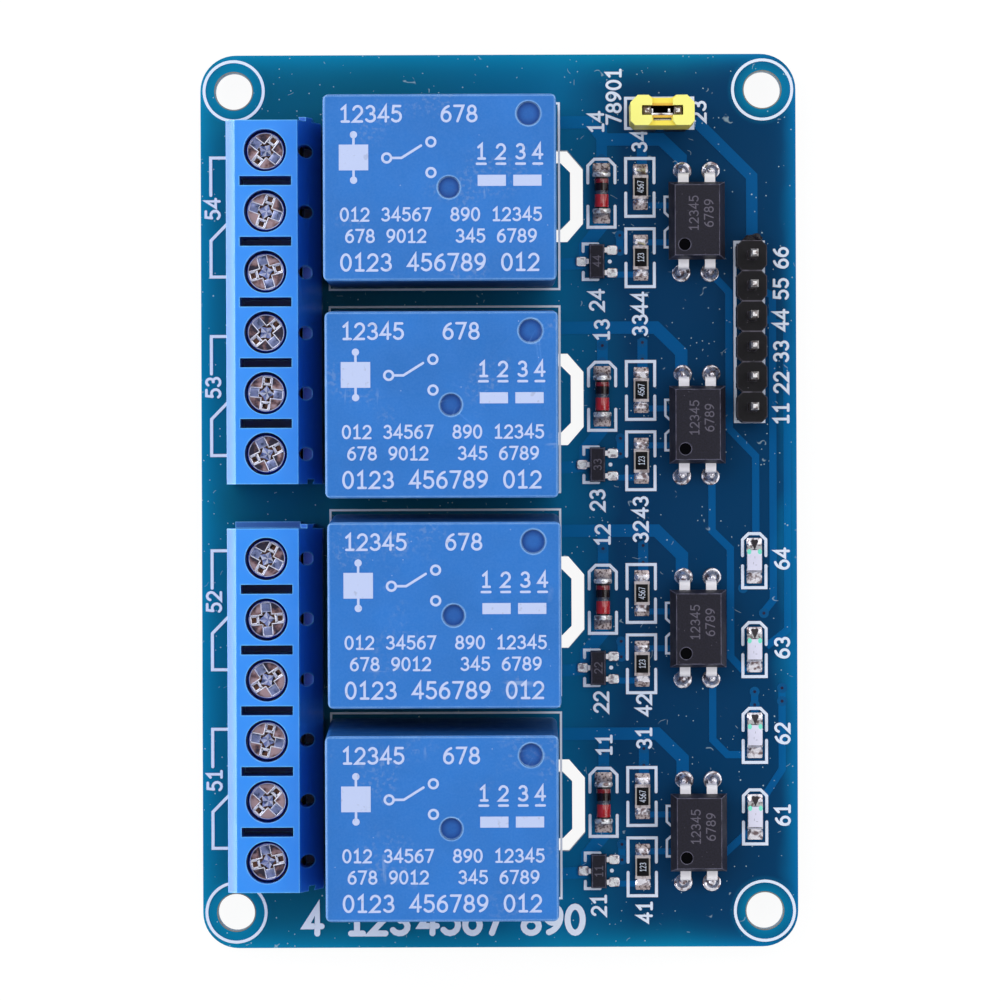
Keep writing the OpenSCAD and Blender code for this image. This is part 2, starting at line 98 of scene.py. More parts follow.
def solids_of(node):
    """Lowest and highest corner of each separate solid in a CAD node, in millimetres."""
    bm = bmesh.new()
    bm.from_mesh(frame["nodes"][node].data)
    bmesh.ops.remove_doubles(bm, verts=bm.verts, dist=1e-7)
    left, found = set(bm.verts), []
    while left:
        island, front = set(), [left.pop()]
        while front:
            vert = front.pop()
            island.add(vert)
            near = {edge.other_vert(vert) for edge in vert.link_edges} & left
            left -= near
            front += near
        low = Vector([min(v.co[i] for v in island) for i in range(3)]) / MM
        high = Vector([max(v.co[i] for v in island) for i in range(3)]) / MM
        found.append((low, high))
    bm.free()
    return sorted(found, key=lambda pair: (round(pair[0].y, 2), round(pair[0].x, 2)))


BOARD_HIGH = box_mm("circuit_board")[1]
TOP = BOARD_HIGH.z
OPTO_DY = -2.2
PIN_PITCH = 2.54
CHANNEL_Y = [centre_mm(f"optocoupler_{k + 1}").y - OPTO_DY for k in CHANNELS]
MOUNT = next(m for m in frame["record"]["mounts"] if m["name"] == "mounting_holes")["dims"]
MOUNT_AT = [(sx * MOUNT["spacing_x_mm"] / 2, sy * MOUNT["spacing_y_mm"] / 2)
            for sx in (-1, 1) for sy in (-1, 1)]
RELAY_X = -4.54
RELAY_TOP = 15.3
ARMATURE_PIVOT = Vector((7.1, 0, 11.225))


def relay_frame(k):
    """Where relay k stands: its own origin and lean, from the joint of its armature."""
    joint = next(j for j in frame["joints"] if j["name"] == f"armature_{k + 1}_tip")
    lean = Matrix.Rotation(math.atan2(-joint["axis"][2], -joint["axis"][1]), 4, "X")
    return Matrix.Translation(Vector(joint["pos_m"]) / MM - lean @ ARMATURE_PIVOT) @ lean


# ---------- finishes ----------
FINISHES = {}


def srgb(red, green, blue):
    """A display colour, 0 to 255 each, as the linear colour that a shader takes."""
    def linear(v):
        v /= 255
        return v / 12.92 if v <= 0.04045 else ((v + 0.055) / 1.055) ** 2.4
    return (linear(red), linear(green), linear(blue), 1)


class Nodes:
    """Short calls that add shader nodes to a tree; an input is a value or another node's socket."""

    def __init__(self, tree):
        self.tree = tree

    def node(self, kind, settings=None, **inputs):
        made = self.tree.nodes.new("ShaderNode" + kind)
        for name, value in (settings or {}).items():
            setattr(made, name, value)
        for name, value in inputs.items():
            self.plug(made, name, value)
        return made

    def plug(self, node, name, value):
        """Sets or links an input, by its name or as _ and its number."""
        socket = node.inputs[int(name[1:])] if name[0] == "_" else node.inputs[name]
        if isinstance(value, bpy.types.NodeSocket):
            self.tree.links.new(value, socket)
        else:
            socket.default_value = value

    def ramp(self, source, *stops):
        """Colours along a value: each stop is (position, colour)."""
        made = self.node("ValToRGB", Fac=source)
        elements = made.color_ramp.elements
        while len(elements) < len(stops):
            elements.new(0.5)
        for element, (position, colour) in zip(elements, stops):
            element.position = position
            element.color = colour
        return made.outputs["Color"]

    def span(self, source, low, high, to_low=0.0, to_high=1.0):
        """Maps low..high of a value to to_low..to_high, held at the ends."""
        ends = {"From Min": low, "From Max": high, "To Min": to_low, "To Max": to_high}
        return self.node("MapRange", Value=source, **ends).outputs["Result"]

    def math(self, operation, a, b=0):
        return self.node("Math", {"operation": operation}, _0=a, _1=b).outputs[0]

    def times(self, a, b):
        return self.math("MULTIPLY", a, b)

    def apart(self, a, b):
        """How far two values are from each other."""
        return self.math("ABSOLUTE", self.math("SUBTRACT", a, b))


class Finish(Nodes):
    """One Principled material, kept in FINISHES under its name."""

    def __init__(self, name, rough, **sockets):
        self.material = bpy.data.materials.new(name)
        self.material.use_nodes = True
        super().__init__(self.material.node_tree)
        self.shader = self.tree.nodes["Principled BSDF"]
        self.shader.inputs["Roughness"].default_value = rough
        for socket, value in sockets.items():
            self.shader.inputs[socket.replace("_", " ")].default_value = value
        self.place = self.node("TexCoord").outputs["Object"]
        FINISHES[name] = self

    def noise(self, size, detail=2.0, stretch=(1, 1, 1)):
        """Soft noise whose features are about size millimetres across."""
        place = self.node("VectorMath", {"operation": "MULTIPLY"}, _0=self.place, _1=stretch)
        made = self.node("TexNoise", Vector=place.outputs[0], Scale=1 / (size * MM), Detail=detail)
        return made.outputs["Fac"]

    def mix(self, share, a, b):
        return self.node("Mix", {"data_type": "RGBA"}, _0=share, _6=a, _7=b).outputs[2]

    def axis(self, name):
        return self.node("SeparateXYZ", _0=self.place).outputs[name]

    def specks(self, spacing, size, share):
        """1 inside small scattered spots, 0 elsewhere.

        Spacing and size are in millimetres, and share is how many of the cells have a spot.
        """
        cells = self.node("TexVoronoi", Vector=self.place, Scale=1 / (spacing * MM))
        near = self.math("LESS_THAN", cells.outputs["Distance"], size / spacing)
        draw = self.node("SeparateColor", _0=cells.outputs["Color"]).outputs[0]
        return self.times(near, self.math("LESS_THAN", draw, share))

    def edges(self, reach):
        """1 along the part's edges and seams, fading out over reach millimetres."""
        rounded_over = self.node("Bevel", {"samples": 6}, Radius=reach * MM).outputs["Normal"]
        flat = self.node("NewGeometry").outputs["True Normal"]
        alike = self.node("VectorMath", {"operation": "DOT_PRODUCT"}, _0=rounded_over, _1=flat)
        return self.span(alike.outputs["Value"], 0.995, 0.9)

    def hollows(self, reach):
        """1 deep in the part's own dimples and corners, 0 on open faces."""
        shade = self.node("AmbientOcclusion", {"samples": 8, "only_local": True}, Distance=reach * MM)
        return self.span(shade.outputs["AO"], 0.99, 0.7)

    def sides(self):
        """1 on upright faces, 0 on those that face up."""
        normal = self.node("NewGeometry").outputs["True Normal"]
        return self.span(self.node("SeparateXYZ", _0=normal).outputs["Z"], 0.8, 0.3)

    def colour(self, tone, *layers):
        """Base colour: a tone, with layers of (share, colour) over it."""
        for share, colour in layers:
            tone = self.mix(share, tone, colour)
        self.plug(self.shader, "Base Color", tone)

    def gloss(self, source, low, high):
        """Roughness that follows a noise from low to high."""
        self.plug(self.shader, "Roughness", self.span(source, 0.3, 0.7, low, high))

    def bump(self, source, height):
        """Bump of the given height in millimetres."""
        made = self.node("Bump", Height=source, Strength=1.0, Distance=height * MM)
        self.plug(self.shader, "Normal", made.outputs["Normal"])


def scaled(colour, factor):
    return tuple(channel * factor for channel in colour[:3]) + (1,)


def moulded_plastic(name, colour, rough, grain=0.6, depth=0.006, shift=0.06, **sockets):
    """Moulded plastic: faint clouds in the colour and a fine skin."""
    made = Finish(name, rough, **sockets)
    pale, deep = scaled(colour, 1 + shift), scaled(colour, 1 - shift)
    made.colour(made.ramp(made.noise(4, 3), (0.3, deep), (0.7, pale)))
    made.gloss(made.noise(1.5, 3), rough - 0.04, rough + 0.06)
    made.bump(made.noise(grain, 3), depth)


def plain_metal(name, colour, rough, grain=0.8, depth=0.004, stretch=(1, 1, 1), dull=0.75):
    """Bare metal: colour and gloss vary a little over it."""
    made = Finish(name, rough, Metallic=1.0)
    clouds = made.noise(grain * 2, 3, stretch)
    made.colour(made.ramp(clouds, (0.35, scaled(colour, dull)), (0.65, colour)))
    made.gloss(clouds, rough + 0.08, rough - 0.06)
    made.bump(made.noise(grain, 4, stretch), depth)


def mottled_metal(name, light, dark, rough=0.26, metallic=0.9, size=0.55):
    """Metal with brown and grey clouds over a bright ground, as old solder and worn plating have."""
    made = Finish(name, rough, Metallic=metallic)
    clouds = made.noise(size, 4)
    made.colour(made.ramp(clouds, (0.38, dark), (0.52, light)))
    made.gloss(clouds, rough + 0.1, rough - 0.1)
    made.bump(made.noise(0.4, 3), 0.02)


def solder_mask(name, left, edge, middle, depth):
    """Glossy mask, deepest over the middle and right, partly from the copper under it and partly as painted light.
    A painted glow round the board's edges and its holes stands in for light shining through the mask.
    """
    made = Finish(name, 0.28, Specular_IOR_Level=0.06)
    x, y = made.axis("X"), made.axis("Y")
    wander = made.times(made.math("SUBTRACT", made.noise(8, 2), 0.5), 5 * MM)
    # Tone along X: partly the copper under the mask, partly painted light.
    tone = made.ramp(made.span(made.math("ADD", x, wander), -25 * MM, 25 * MM),
                     (0.0, left), (0.3, left), (0.61, middle), (0.72, depth), (0.97, depth), (1.0, middle))
    inset, off = [], []
    for along, reach, mount in ((x, BOARD_HIGH.x, MOUNT_AT[0][0]), (y, BOARD_HIGH.y, MOUNT_AT[0][1])):
        out = made.math("ABSOLUTE", along)
        inset.append(made.math("SUBTRACT", reach * MM, out))
        off.append(made.math("SUBTRACT", out, abs(mount) * MM))
    rim = made.span(made.math("MINIMUM", *inset), 0, 5 * MM, 1, 0)
    # Painted glow along the board's edges, for light shining through the mask.
    glow = made.math("POWER", rim, made.span(x, 15 * MM, 24 * MM, 3.8, 8))
    rim_tone = made.ramp(made.span(x, 15 * MM, 24 * MM), (0.0, edge), (1.0, srgb(0, 110, 172)))
    # Painted glow round each mounting hole, in the edge colour.
    from_hole = made.math("POWER", made.math("ADD", *(made.times(d, d) for d in off)), 0.5)
    dust = made.math("MAXIMUM", made.specks(0.5, 0.05, 0.4), made.specks(1.0, 0.065, 0.3))
    thread = made.span(made.apart(made.noise(1.6, 1), 0.5), 0, 0.014, 1, 0)
    fibre = made.times(thread, made.span(made.noise(1.3, 1, (1, 1.2, 1)), 0.68, 0.7))
    specks = made.math("MAXIMUM", made.times(dust, 0.7), made.times(fibre, 0.5))
    made.colour(tone, (glow, rim_tone), (made.span(from_hole, 1.6 * MM, 3.0 * MM, 0.75, 0), edge),
                (specks, srgb(190, 215, 225)))
    made.gloss(made.noise(5, 3), 0.28, 0.4)
    made.bump(made.noise(0.9, 3), 0.004)


def speckled_moulding(name, colour, grain_colour, highlight_colour, seams=None):
    """Dull epoxy: dark and sandy, with a few pale grains. Its edges have a painted highlight, broken up by noise.

    So do its seams, which are a start and a pitch along Y.
    """
    made = Finish(name, 0.55, Specular_IOR_Level=0.3)
    edges = made.edges(0.14)
    if seams:
        start, pitch = seams
        steps = made.math("DIVIDE", made.math("SUBTRACT", made.axis("Y"), start * MM), pitch * MM)
        off = made.apart(made.math("FRACT", made.math("ADD", steps, 0.5)), 0.5)
        edges = made.math("MAXIMUM", edges, made.span(off, 0.012, 0.03, 1, 0))
    sand = made.noise(0.14, 2)
    tone = made.ramp(sand, (0.35, scaled(colour, 0.75)), (0.62, scaled(colour, 1.3)))
    # Painted highlight along the edges and seams.
    wear_and_edge_highlight = made.times(edges, made.span(made.noise(0.8, 3), 0.35, 0.55, 0.3, 1))
    made.colour(tone, (wear_and_edge_highlight, highlight_colour), (made.times(made.specks(0.45, 0.035, 0.4), 0.6), grain_colour))
    made.gloss(made.noise(1.2, 3), 0.46, 0.6)
    made.bump(sand, 0.012)


def relay_plastic():
    """Relay blue with fine grain, rubbed patches, thin scratches and dust; painted shade in its dimples and on its
    sides, and pale edges that are partly chipped and partly a painted highlight.
    """
    base, scratched = srgb(34, 114, 200), srgb(190, 212, 240)
    made = Finish("relay_plastic", 0.42, Specular_IOR_Level=0.3)
    tone = made.ramp(made.noise(5, 3), (0.3, scaled(base, 0.93)), (0.7, scaled(base, 1.07)))
    grain = made.span(made.noise(0.16, 2), 0.3, 0.7, 0, 0.08)
    patch = made.span(made.noise(6, 2), 0.56, 0.66)
    upright, level = (made.times(made.span(made.noise(size, 5, stretch), 0.66, 0.72), patch)
                      for size, stretch in ((1.3, (1, 0.12, 1)), (1.1, (0.1, 1, 1))))
    rubbed = made.times(patch, made.span(made.noise(0.35, 4), 0.5, 0.66))
    edge_chips_and_highlight = made.span(made.noise(1.1, 3), 0.35, 0.7, 0.6, 1)
    made.colour(tone, (grain, srgb(120, 168, 232)),
                (made.times(upright, 0.3), scratched), (made.times(level, 0.3), scratched),
                (made.times(rubbed, 0.22), srgb(150, 170, 200)),
                # Painted shade: darker deep in the dimples and on the upright sides.
                (made.times(made.hollows(1.2), 0.75), srgb(0, 60, 146)),
                (made.times(made.sides(), 0.6), scaled(base, 0.35)),
                # Pale edges: partly chipped plastic, partly a painted highlight.
                (made.times(made.edges(0.24), edge_chips_and_highlight), srgb(156, 202, 250)),
                (made.times(made.specks(0.8, 0.05, 0.2), 0.5), srgb(176, 200, 236)))
    made.gloss(made.noise(1.2, 3), 0.36, 0.5)
    made.bump(made.noise(0.4, 3), 0.004)


def terminal_plastic():
    """Glossy blue, with painted light and shade by height: lighter at the foot and on the top face, deeper down
    the slopes and wells; and a painted highlight along its edges.
    """
    made = Finish("terminal_plastic", 0.34, Coat_Weight=0.75, Coat_Roughness=0.16)
    # Colour by height above the board is painted light and shade: a painted sheen at the foot, painted shade down
    # the slopes and wells, lightest on top.
    height = made.span(made.axis("Z"), TOP * MM, box_mm("terminal_housing_lower")[1].z * MM)
    tone = made.ramp(height, (0.0, srgb(56, 132, 196)), (0.1, srgb(44, 112, 190)), (0.16, srgb(20, 82, 204)),
                     (0.7, srgb(28, 106, 224)), (0.95, srgb(34, 118, 228)), (0.99, srgb(32, 142, 248)))
    clouds = made.span(made.noise(4, 3), 0.3, 0.7, 0, 0.1)
    # Painted highlight along the edges, broken up by noise.
    wear_and_edge_highlight = made.times(made.edges(0.2), made.span(made.noise(1.2, 3), 0.3, 0.6, 0.5, 1))
    made.colour(tone, (clouds, srgb(76, 168, 250)), (wear_and_edge_highlight, srgb(110, 200, 255)))
    made.gloss(made.noise(1.5, 3), 0.3, 0.4)
    made.bump(made.noise(0.6, 3), 0.006)


def land_metal():
    """Plating of the screws' lands: on some dark, on others pink with rust."""
    made = Finish("screw_land", 0.3, Metallic=0.3)
    clouds = made.math("ADD", made.noise(0.7, 4), made.span(made.noise(7, 1), 0.35, 0.65, -0.12, 0.1))
    made.colour(made.ramp(clouds, (0.4, srgb(56, 50, 66)), (0.5, srgb(140, 104, 100)),
                          (0.6, srgb(206, 172, 168))))
    made.gloss(clouds, 0.36, 0.22)
    made.bump(made.noise(0.4, 3), 0.02)


def pin_metal():
    """Plated pins: bright and spotted on their tips, with painted shade and a painted reflection of the dark
    header down their sides.
    """
    made = Finish("pin_plating", 0.3, Metallic=0.3)
    tone = made.ramp(made.noise(0.3, 4), (0.38, srgb(130, 108, 104)), (0.52, srgb(255, 253, 255)))
    # Painted shade and painted dark reflection on the pins' upright sides.
    made.colour(tone, (made.sides(), srgb(84, 78, 78)))
    made.gloss(made.noise(0.5, 2), 0.36, 0.24)
    made.bump(made.noise(0.4, 3), 0.01)


def cap_plastic():
    """Clear yellow of the jumper cap, with painted light and shade by height: palest at its top, deeper below.
    Brown in its window.
    """
    made = Finish("jumper_plastic", 0.36)
    split = made.node("SeparateXYZ", _0=made.node("TexCoord").outputs["Generated"]).outputs
    # Painted light and shade by height: palest on top, deeper lower down.
    depth = made.span(split["Z"], 0.88, 0.985, 1, 0)
    tone = made.ramp(depth, (0.0, srgb(255, 252, 134)), (0.6, srgb(255, 236, 84)), (1.0, srgb(246, 226, 70)))
    inside = [made.span(made.apart(split[name], 0.5), low, high, 1, 0)
              for name, low, high in (("X", 0.33, 0.36), ("Y", 0.22, 0.26))]
    made.colour(tone, (made.times(made.times(*inside), depth), srgb(222, 146, 28)),
                (made.times(made.specks(0.9, 0.06, 0.12), 0.6), srgb(120, 110, 50)))
    made.gloss(made.noise(1.5, 3), 0.3, 0.42)
    made.bump(made.noise(0.6, 3), 0.006)


def print_ink(name, colour, wear):
    """White print with small worn gaps that show as a duller tone."""
    made = Finish(name, 0.55, Specular_IOR_Level=0.3)
    wear_and_edge_highlight = made.span(made.noise(0.5, 4), 0.62, 0.7)
    made.colour(colour, (made.times(wear_and_edge_highlight, wear), scaled(colour, 0.62)))
    made.bump(made.noise(0.25, 3), 0.006)


def clear_glass(name, colour):
    """Thin tinted glass."""
    made = Finish(name, 0.04, IOR=1.5, Transmission_Weight=0.25, Coat_Weight=1.0)
    made.colour(made.ramp(made.noise(0.6, 2), (0.3, scaled(colour, 0.8)), (0.7, colour)))
    made.bump(made.noise(0.5, 2), 0.002)


def make_finishes():
    """Every finish of the board, to be taken by its name."""
    solder_mask("solder_mask", srgb(0, 91, 123), srgb(0, 130, 175), srgb(0, 99, 147), srgb(2, 58, 100))
    solder_mask("trace_mask", srgb(0, 98, 142), srgb(4, 124, 184), srgb(0, 102, 162), srgb(0, 86, 146))
    moulded_plastic("via_mask", srgb(4, 84, 138), 0.3, Specular_IOR_Level=0.1)
    moulded_plastic("via_hole", srgb(20, 14, 58), 0.3)
    moulded_plastic("board_core", srgb(128, 122, 112), 0.6)
    print_ink("board_ink", srgb(226, 236, 255), 0.12)
    print_ink("relay_ink", srgb(190, 204, 242), 0.5)
    mottled_metal("solder", srgb(236, 234, 244), srgb(124, 106, 110), 0.22, 0.75, 0.42)
    mottled_metal("dull_solder", srgb(186, 174, 176), srgb(86, 68, 72), 0.34, 0.6, 0.22)
    mottled_metal("pad_solder", srgb(250, 252, 255), srgb(150, 140, 150), 0.3, 0.15, 0.4)
    mottled_metal("bright_tin", srgb(248, 250, 255), srgb(126, 108, 110), 0.22, 0.55, 0.36)
    mottled_metal("end_metal", srgb(214, 204, 206), srgb(150, 138, 140), 0.4, 0.1, 0.4)
    moulded_plastic("tinned_lead", srgb(250, 248, 255), 0.3, 0.5, 0.003, 0.01)
    plain_metal("brass", srgb(205, 165, 90), 0.3)
    plain_metal("spring_steel", srgb(190, 190, 195), 0.3)
    plain_metal("relay_steel", srgb(160, 162, 168), 0.35)
    plain_metal("winding_copper", srgb(200, 110, 60), 0.35, 0.3, 0.02, (0.1, 0.1, 3))
    pin_metal()
    plain_metal("screw_steel", srgb(226, 226, 240), 0.16, 0.5, 0.01, dull=0.7)
    land_metal()
    # Painted reflection: dark blue on the screw head's flank, for the shaded blue well round it.
    moulded_plastic("screw_side_well_reflection", srgb(18, 36, 150), 0.4)
    # Painted shade in the cross recess, painted highlight on the head's rims and edges, and painted shade with
    # brown clouds at the bottom of the recess.
    mottled_metal("screw_recess_shade", srgb(150, 160, 200), srgb(74, 86, 120), 0.26, 0.4, 0.5)
    mottled_metal("screw_edge_highlight", srgb(250, 250, 255), srgb(190, 192, 216), 0.24, 0.3)
    mottled_metal("screw_pocket_shade", srgb(170, 120, 96), srgb(20, 14, 16), 0.3, 0.4, 0.3)
    terminal_plastic()
    relay_plastic()
    moulded_plastic("relay_base_plastic", srgb(16, 24, 52), 0.5)
    moulded_plastic("bobbin_plastic", srgb(226, 220, 200), 0.5)
    cap_plastic()
    speckled_moulding("header_plastic", srgb(8, 6, 14), srgb(140, 134, 146), srgb(92, 88, 102),
                      (box_mm("header_strip")[0].y, PIN_PITCH))
    moulded_plastic("snapped_plastic", srgb(22, 18, 28), 0.18, 0.3, 0.05)
    speckled_moulding("chip_moulding", srgb(25, 23, 38), srgb(110, 104, 122), srgb(124, 122, 146))
    # Painted shade for the optocouplers' dimples.
    moulded_plastic("moulding_pit_shade", srgb(3, 3, 6), 0.8, Specular_IOR_Level=0.05)
    moulded_plastic("moulding_mark", srgb(94, 90, 106), 0.7, 0.2)
    moulded_plastic("resistor_film", srgb(8, 8, 14), 0.4, Specular_IOR_Level=0.15)
    moulded_plastic("resistor_body", srgb(186, 178, 172), 0.45)
    moulded_plastic("light_ceramic", srgb(226, 230, 246), 0.4)
    moulded_plastic("light_lens", srgb(230, 230, 252), 0.16)
    # Painted reflection on the lights' metal ends.
    moulded_plastic("light_end_reflection", srgb(52, 48, 54), 0.3, 0.2, 0.02, 0.4)
    moulded_plastic("light_mark", srgb(124, 240, 212), 0.4)
    moulded_plastic("light_shade", srgb(176, 178, 196), 0.4)
    clear_glass("diode_glass", srgb(214, 44, 52))
    clear_glass("diode_deep_glass", srgb(150, 22, 30))
    clear_glass("diode_clear_glass", srgb(70, 76, 96))
    moulded_plastic("diode_band", srgb(24, 12, 18), 0.15)


# ---------- shapes, in millimetres ----------
def arc(x, y, rx, ry, start, end, count):
    """Points along an ellipse, angles in degrees."""
    angles = [math.radians(start + (end - start) * i / count) for i in range(count + 1)]
    return [(x + rx * math.cos(a), y + ry * math.sin(a)) for a in angles]


def ring_points(x, y, radius, count=48):
    return arc(x, y, radius, radius, 0, 360, count)[:-1]


def rectangle(x0, y0, x1, y1, cut=0.0):
    """Outline of a rectangle, with its corners cut if asked."""
    if not cut:
        return [(x0, y0), (x1, y0), (x1, y1), (x0, y1)]
    return [(x0 + cut, y0), (x1 - cut, y0), (x1, y0 + cut), (x1, y1 - cut),
            (x1 - cut, y1), (x0 + cut, y1), (x0, y1 - cut), (x0, y0 + cut)]


def sides_of(path, width, closed):
    """The two lines that run along a path at half its width, mitred at the corners."""
    points = [Vector(p) for p in path]
    lines = ([], [])
    count = len(points)
    for i, point in enumerate(points):
        before = points[i - 1] if closed or i else None
        after = points[(i + 1) % count] if closed or i < count - 1 else None
        ways = [(b - a).normalized() for a, b in ((before, point), (point, after)) if a and b]
        across = [Vector((-w.y, w.x)) for w in ways]
        mid = sum(across, Vector((0, 0))).normalized()
        reach = width / 2 / max(0.35, mid.dot(across[0]))
        for line, side in zip(lines, (1, -1)):
            line.append(point + mid * reach * side)
    return lines


def round_end(before, end, width):
    """Points round the end of a line that comes from before, between its two sides."""
    heading = math.degrees(math.atan2(end[1] - before[1], end[0] - before[0]))
    return [Vector(p) for p in arc(end[0], end[1], width / 2, width / 2, heading + 60, heading - 60, 3)]


def prism(bm, outline, z0, z1, slot=0):
    """Upright solid over an outline."""
    low = [bm.verts.new((p[0], p[1], z0)) for p in outline]
    high = [bm.verts.new((p[0], p[1], z1)) for p in outline]
    count = len(outline)
    faces = [bm.faces.new(low[::-1]), bm.faces.new(high)]
    faces += [bm.faces.new((low[i], low[(i + 1) % count], high[(i + 1) % count], high[i]))
              for i in range(count)]
    for face in faces:
        face.material_index = slot
    return low + high


def band(bm, inner, outer, z0, z1, slot=0):
    """Upright ring between two outlines with the same number of points."""
    count = len(inner)
    rings = [[bm.verts.new((p[0], p[1], z)) for p in line] for line, z in
             ((inner, z0), (outer, z0), (outer, z1), (inner, z1))]
    for a, b in zip(rings, rings[1:] + rings[:1]):
        for i in range(count):
            j = (i + 1) % count
            bm.faces.new((a[i], a[j], b[j], b[i])).material_index = slot
    return sum(rings, [])


def box(bm, low, high, bevel=0.0, slot=0):
    """Block between two corners, with its edges rounded if asked."""
    verts = prism(bm, rectangle(low[0], low[1], high[0], high[1]), low[2], high[2], slot)
    return rounded(bm, verts, bevel) if bevel else verts


def rounded(bm, verts, bevel, segments=2):
    """Rounds every edge among these verts and returns the new ones."""
    chosen = set(verts)
    edges = [e for e in bm.edges if e.verts[0] in chosen and e.verts[1] in chosen]
    made = bmesh.ops.bevel(bm, geom=edges, offset=bevel, segments=segments, affect="EDGES",
                           profile=0.5, clamp_overlap=True)
    return made["verts"]


def lathe(bm, profile, at=(0, 0, 0), turn=None, steps=24):
    """Solid of revolution about Z: profile is (radius, height) or (radius, height, slot), axis to axis."""
    matrix = Matrix.Translation(at) @ (turn or Matrix())
    rings = []
    for point in profile:
        radius, height = point[:2]
        if radius < 1e-6:
            rings.append([bm.verts.new(matrix @ Vector((0, 0, height)))])
        else:
            rings.append([bm.verts.new(matrix @ Vector((radius * math.cos(a), radius * math.sin(a), height)))
                          for a in (2 * math.pi * i / steps for i in range(steps))])
    for point, a, b in zip(profile[1:], rings, rings[1:]):
        for i in range(steps):
            j = (i + 1) % steps
            corners = [a[i % len(a)], a[j % len(a)], b[j % len(b)], b[i % len(b)]]
            kept = [v for n, v in enumerate(corners) if v not in corners[:n]]
            bm.faces.new(kept).material_index = point[2] if len(point) > 2 else 0
    return sum(rings, [])


def sweep(bm, path, width, thick):
    """Flat strip bent along a path in the YZ plane, which is its middle line; its width runs along X."""
    left, right = sides_of(path, thick, False)
    outline = left + right[::-1]
    count = len(outline)
    near, far = ([bm.verts.new((x, p[0], p[1])) for p in outline] for x in (-width / 2, width / 2))
    for i in range(count):
        bm.faces.new((near[i], near[(i + 1) % count], far[(i + 1) % count], far[i]))
    for line in (near, far):
        for i in range(len(left) - 1):
            bm.faces.new((line[i], line[i + 1], line[count - 2 - i], line[count - 1 - i]))
    return near + far


def moved(bm, verts, matrix):
    bmesh.ops.transform(bm, matrix=matrix, verts=list(verts))


def piece(name, bm, finishes, body=BOARD, replaces=(), crease=35):
    """Makes a piece from a mesh drawn in millimetres, which rides on a body."""
    bmesh.ops.scale(bm, vec=(MM, MM, MM), verts=bm.verts)
    bmesh.ops.recalc_face_normals(bm, faces=bm.faces)
    mesh = bpy.data.meshes.new(name)
    bm.to_mesh(mesh)
    bm.free()
    for finish in finishes:
        mesh.materials.append(FINISHES[finish].material)
    mesh.shade_smooth()
    mesh.set_sharp_from_angle(angle=math.radians(crease))
    made = bpy.data.objects.new(name, mesh)
    bpy.context.scene.collection.objects.link(made)
    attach(made, body)
    if replaces:
        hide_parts(*replaces)
    return made


# ---------- print ----------
DIGITS = {
    "0": [arc(0.3, 0.5, 0.29, 0.5, 0, 360, 20)],
    "1": [[(0.1, 0.8), (0.33, 1), (0.33, 0)], [(0.1, 0), (0.56, 0)]],
    "2": [arc(0.3, 0.7, 0.28, 0.3, 165, -35, 9) + [(0.02, 0), (0.58, 0)]],
    "3": [arc(0.28, 0.74, 0.25, 0.26, 150, -85, 9), arc(0.28, 0.26, 0.3, 0.26, 85, -150, 9)],
    "4": [[(0.45, 0), (0.45, 1), (0.0, 0.28), (0.3, 0.28)], [(0.45, 0.28), (0.62, 0.28)]],
    "5": [[(0.55, 1), (0.12, 1), (0.07, 0.56)], arc(0.28, 0.32, 0.31, 0.32, 130, -145, 10)],
    "6": [arc(0.3, 0.31, 0.28, 0.31, 0, 360, 18), arc(0.62, 0.34, 0.6, 0.66, 180, 105, 6)],
    "7": [[(0.0, 1), (0.58, 1), (0.2, 0)]],
    "8": [arc(0.3, 0.75, 0.23, 0.25, 0, 360, 16), arc(0.3, 0.26, 0.29, 0.26, 0, 360, 18)],
    "9": [arc(0.3, 0.69, 0.28, 0.31, 0, 360, 18), arc(-0.02, 0.66, 0.6, 0.66, 0, -75, 6)],
}
DIGIT_STEP = 0.84


class Ink:
    """Flat print on a plane: strokes, rings and filled fields of one thickness."""

    def __init__(self, plane=Matrix(), thickness=INK_T):
        self.bm = bmesh.new()
        self.plane = plane
        self.thickness = thickness
        self.count = 0

    def top(self):
        """Each stroke is a hair thicker than the one before, so crossing strokes share no surface."""
        self.count += 1
        return self.thickness + self.count % 7 * INK_STEP

    def field(self, outline):
        moved(self.bm, prism(self.bm, outline, 0, self.top()), self.plane)

    def stroke(self, path, width, closed=False):
        """A line with round ends, or a closed loop."""
        left, right = sides_of(path, width, closed)
        if closed:
            moved(self.bm, band(self.bm, right, left, 0, self.top()), self.plane)
            return
        self.field(left + round_end(path[-2], path[-1], width)
                   + right[::-1] + round_end(path[1], path[0], width))

    def ring(self, x, y, radius, width, count=48):
        self.stroke(ring_points(x, y, radius, count), width, closed=True)

    def disc(self, x, y, radius):
        self.field(ring_points(x, y, radius, 20))

    def numerals(self, text, centre, height, width, turn=0, squeeze=1):
        """Plain numbers in a row, centred, turned anticlockwise by turn degrees; squeeze narrows them."""
        place = Matrix.Translation((*centre, 0)) @ turned(turn)
        start = -((len(text) - 1) * DIGIT_STEP + 0.6) / 2
        for i, letter in enumerate(text):
            for path in DIGITS.get(letter, ()):
                closed = (Vector(path[0]) - Vector(path[-1])).length < 1e-6
                points = [
                    place @ Vector(((x + start + i * DIGIT_STEP) * height * squeeze, (y - 0.5) * height, 0))
                    for x, y in (path[:-1] if closed else path)]
                self.stroke([p.xy for p in points], width, closed)


# ---------- board ----------
SILK_W = 0.25


def silk_relays(ink):
    for y in CHANNEL_Y:
        ink.stroke(rectangle(RELAY_X - 9.65, y - 7.8, RELAY_X + 9.65, y + 7.8), 0.18, closed=True)


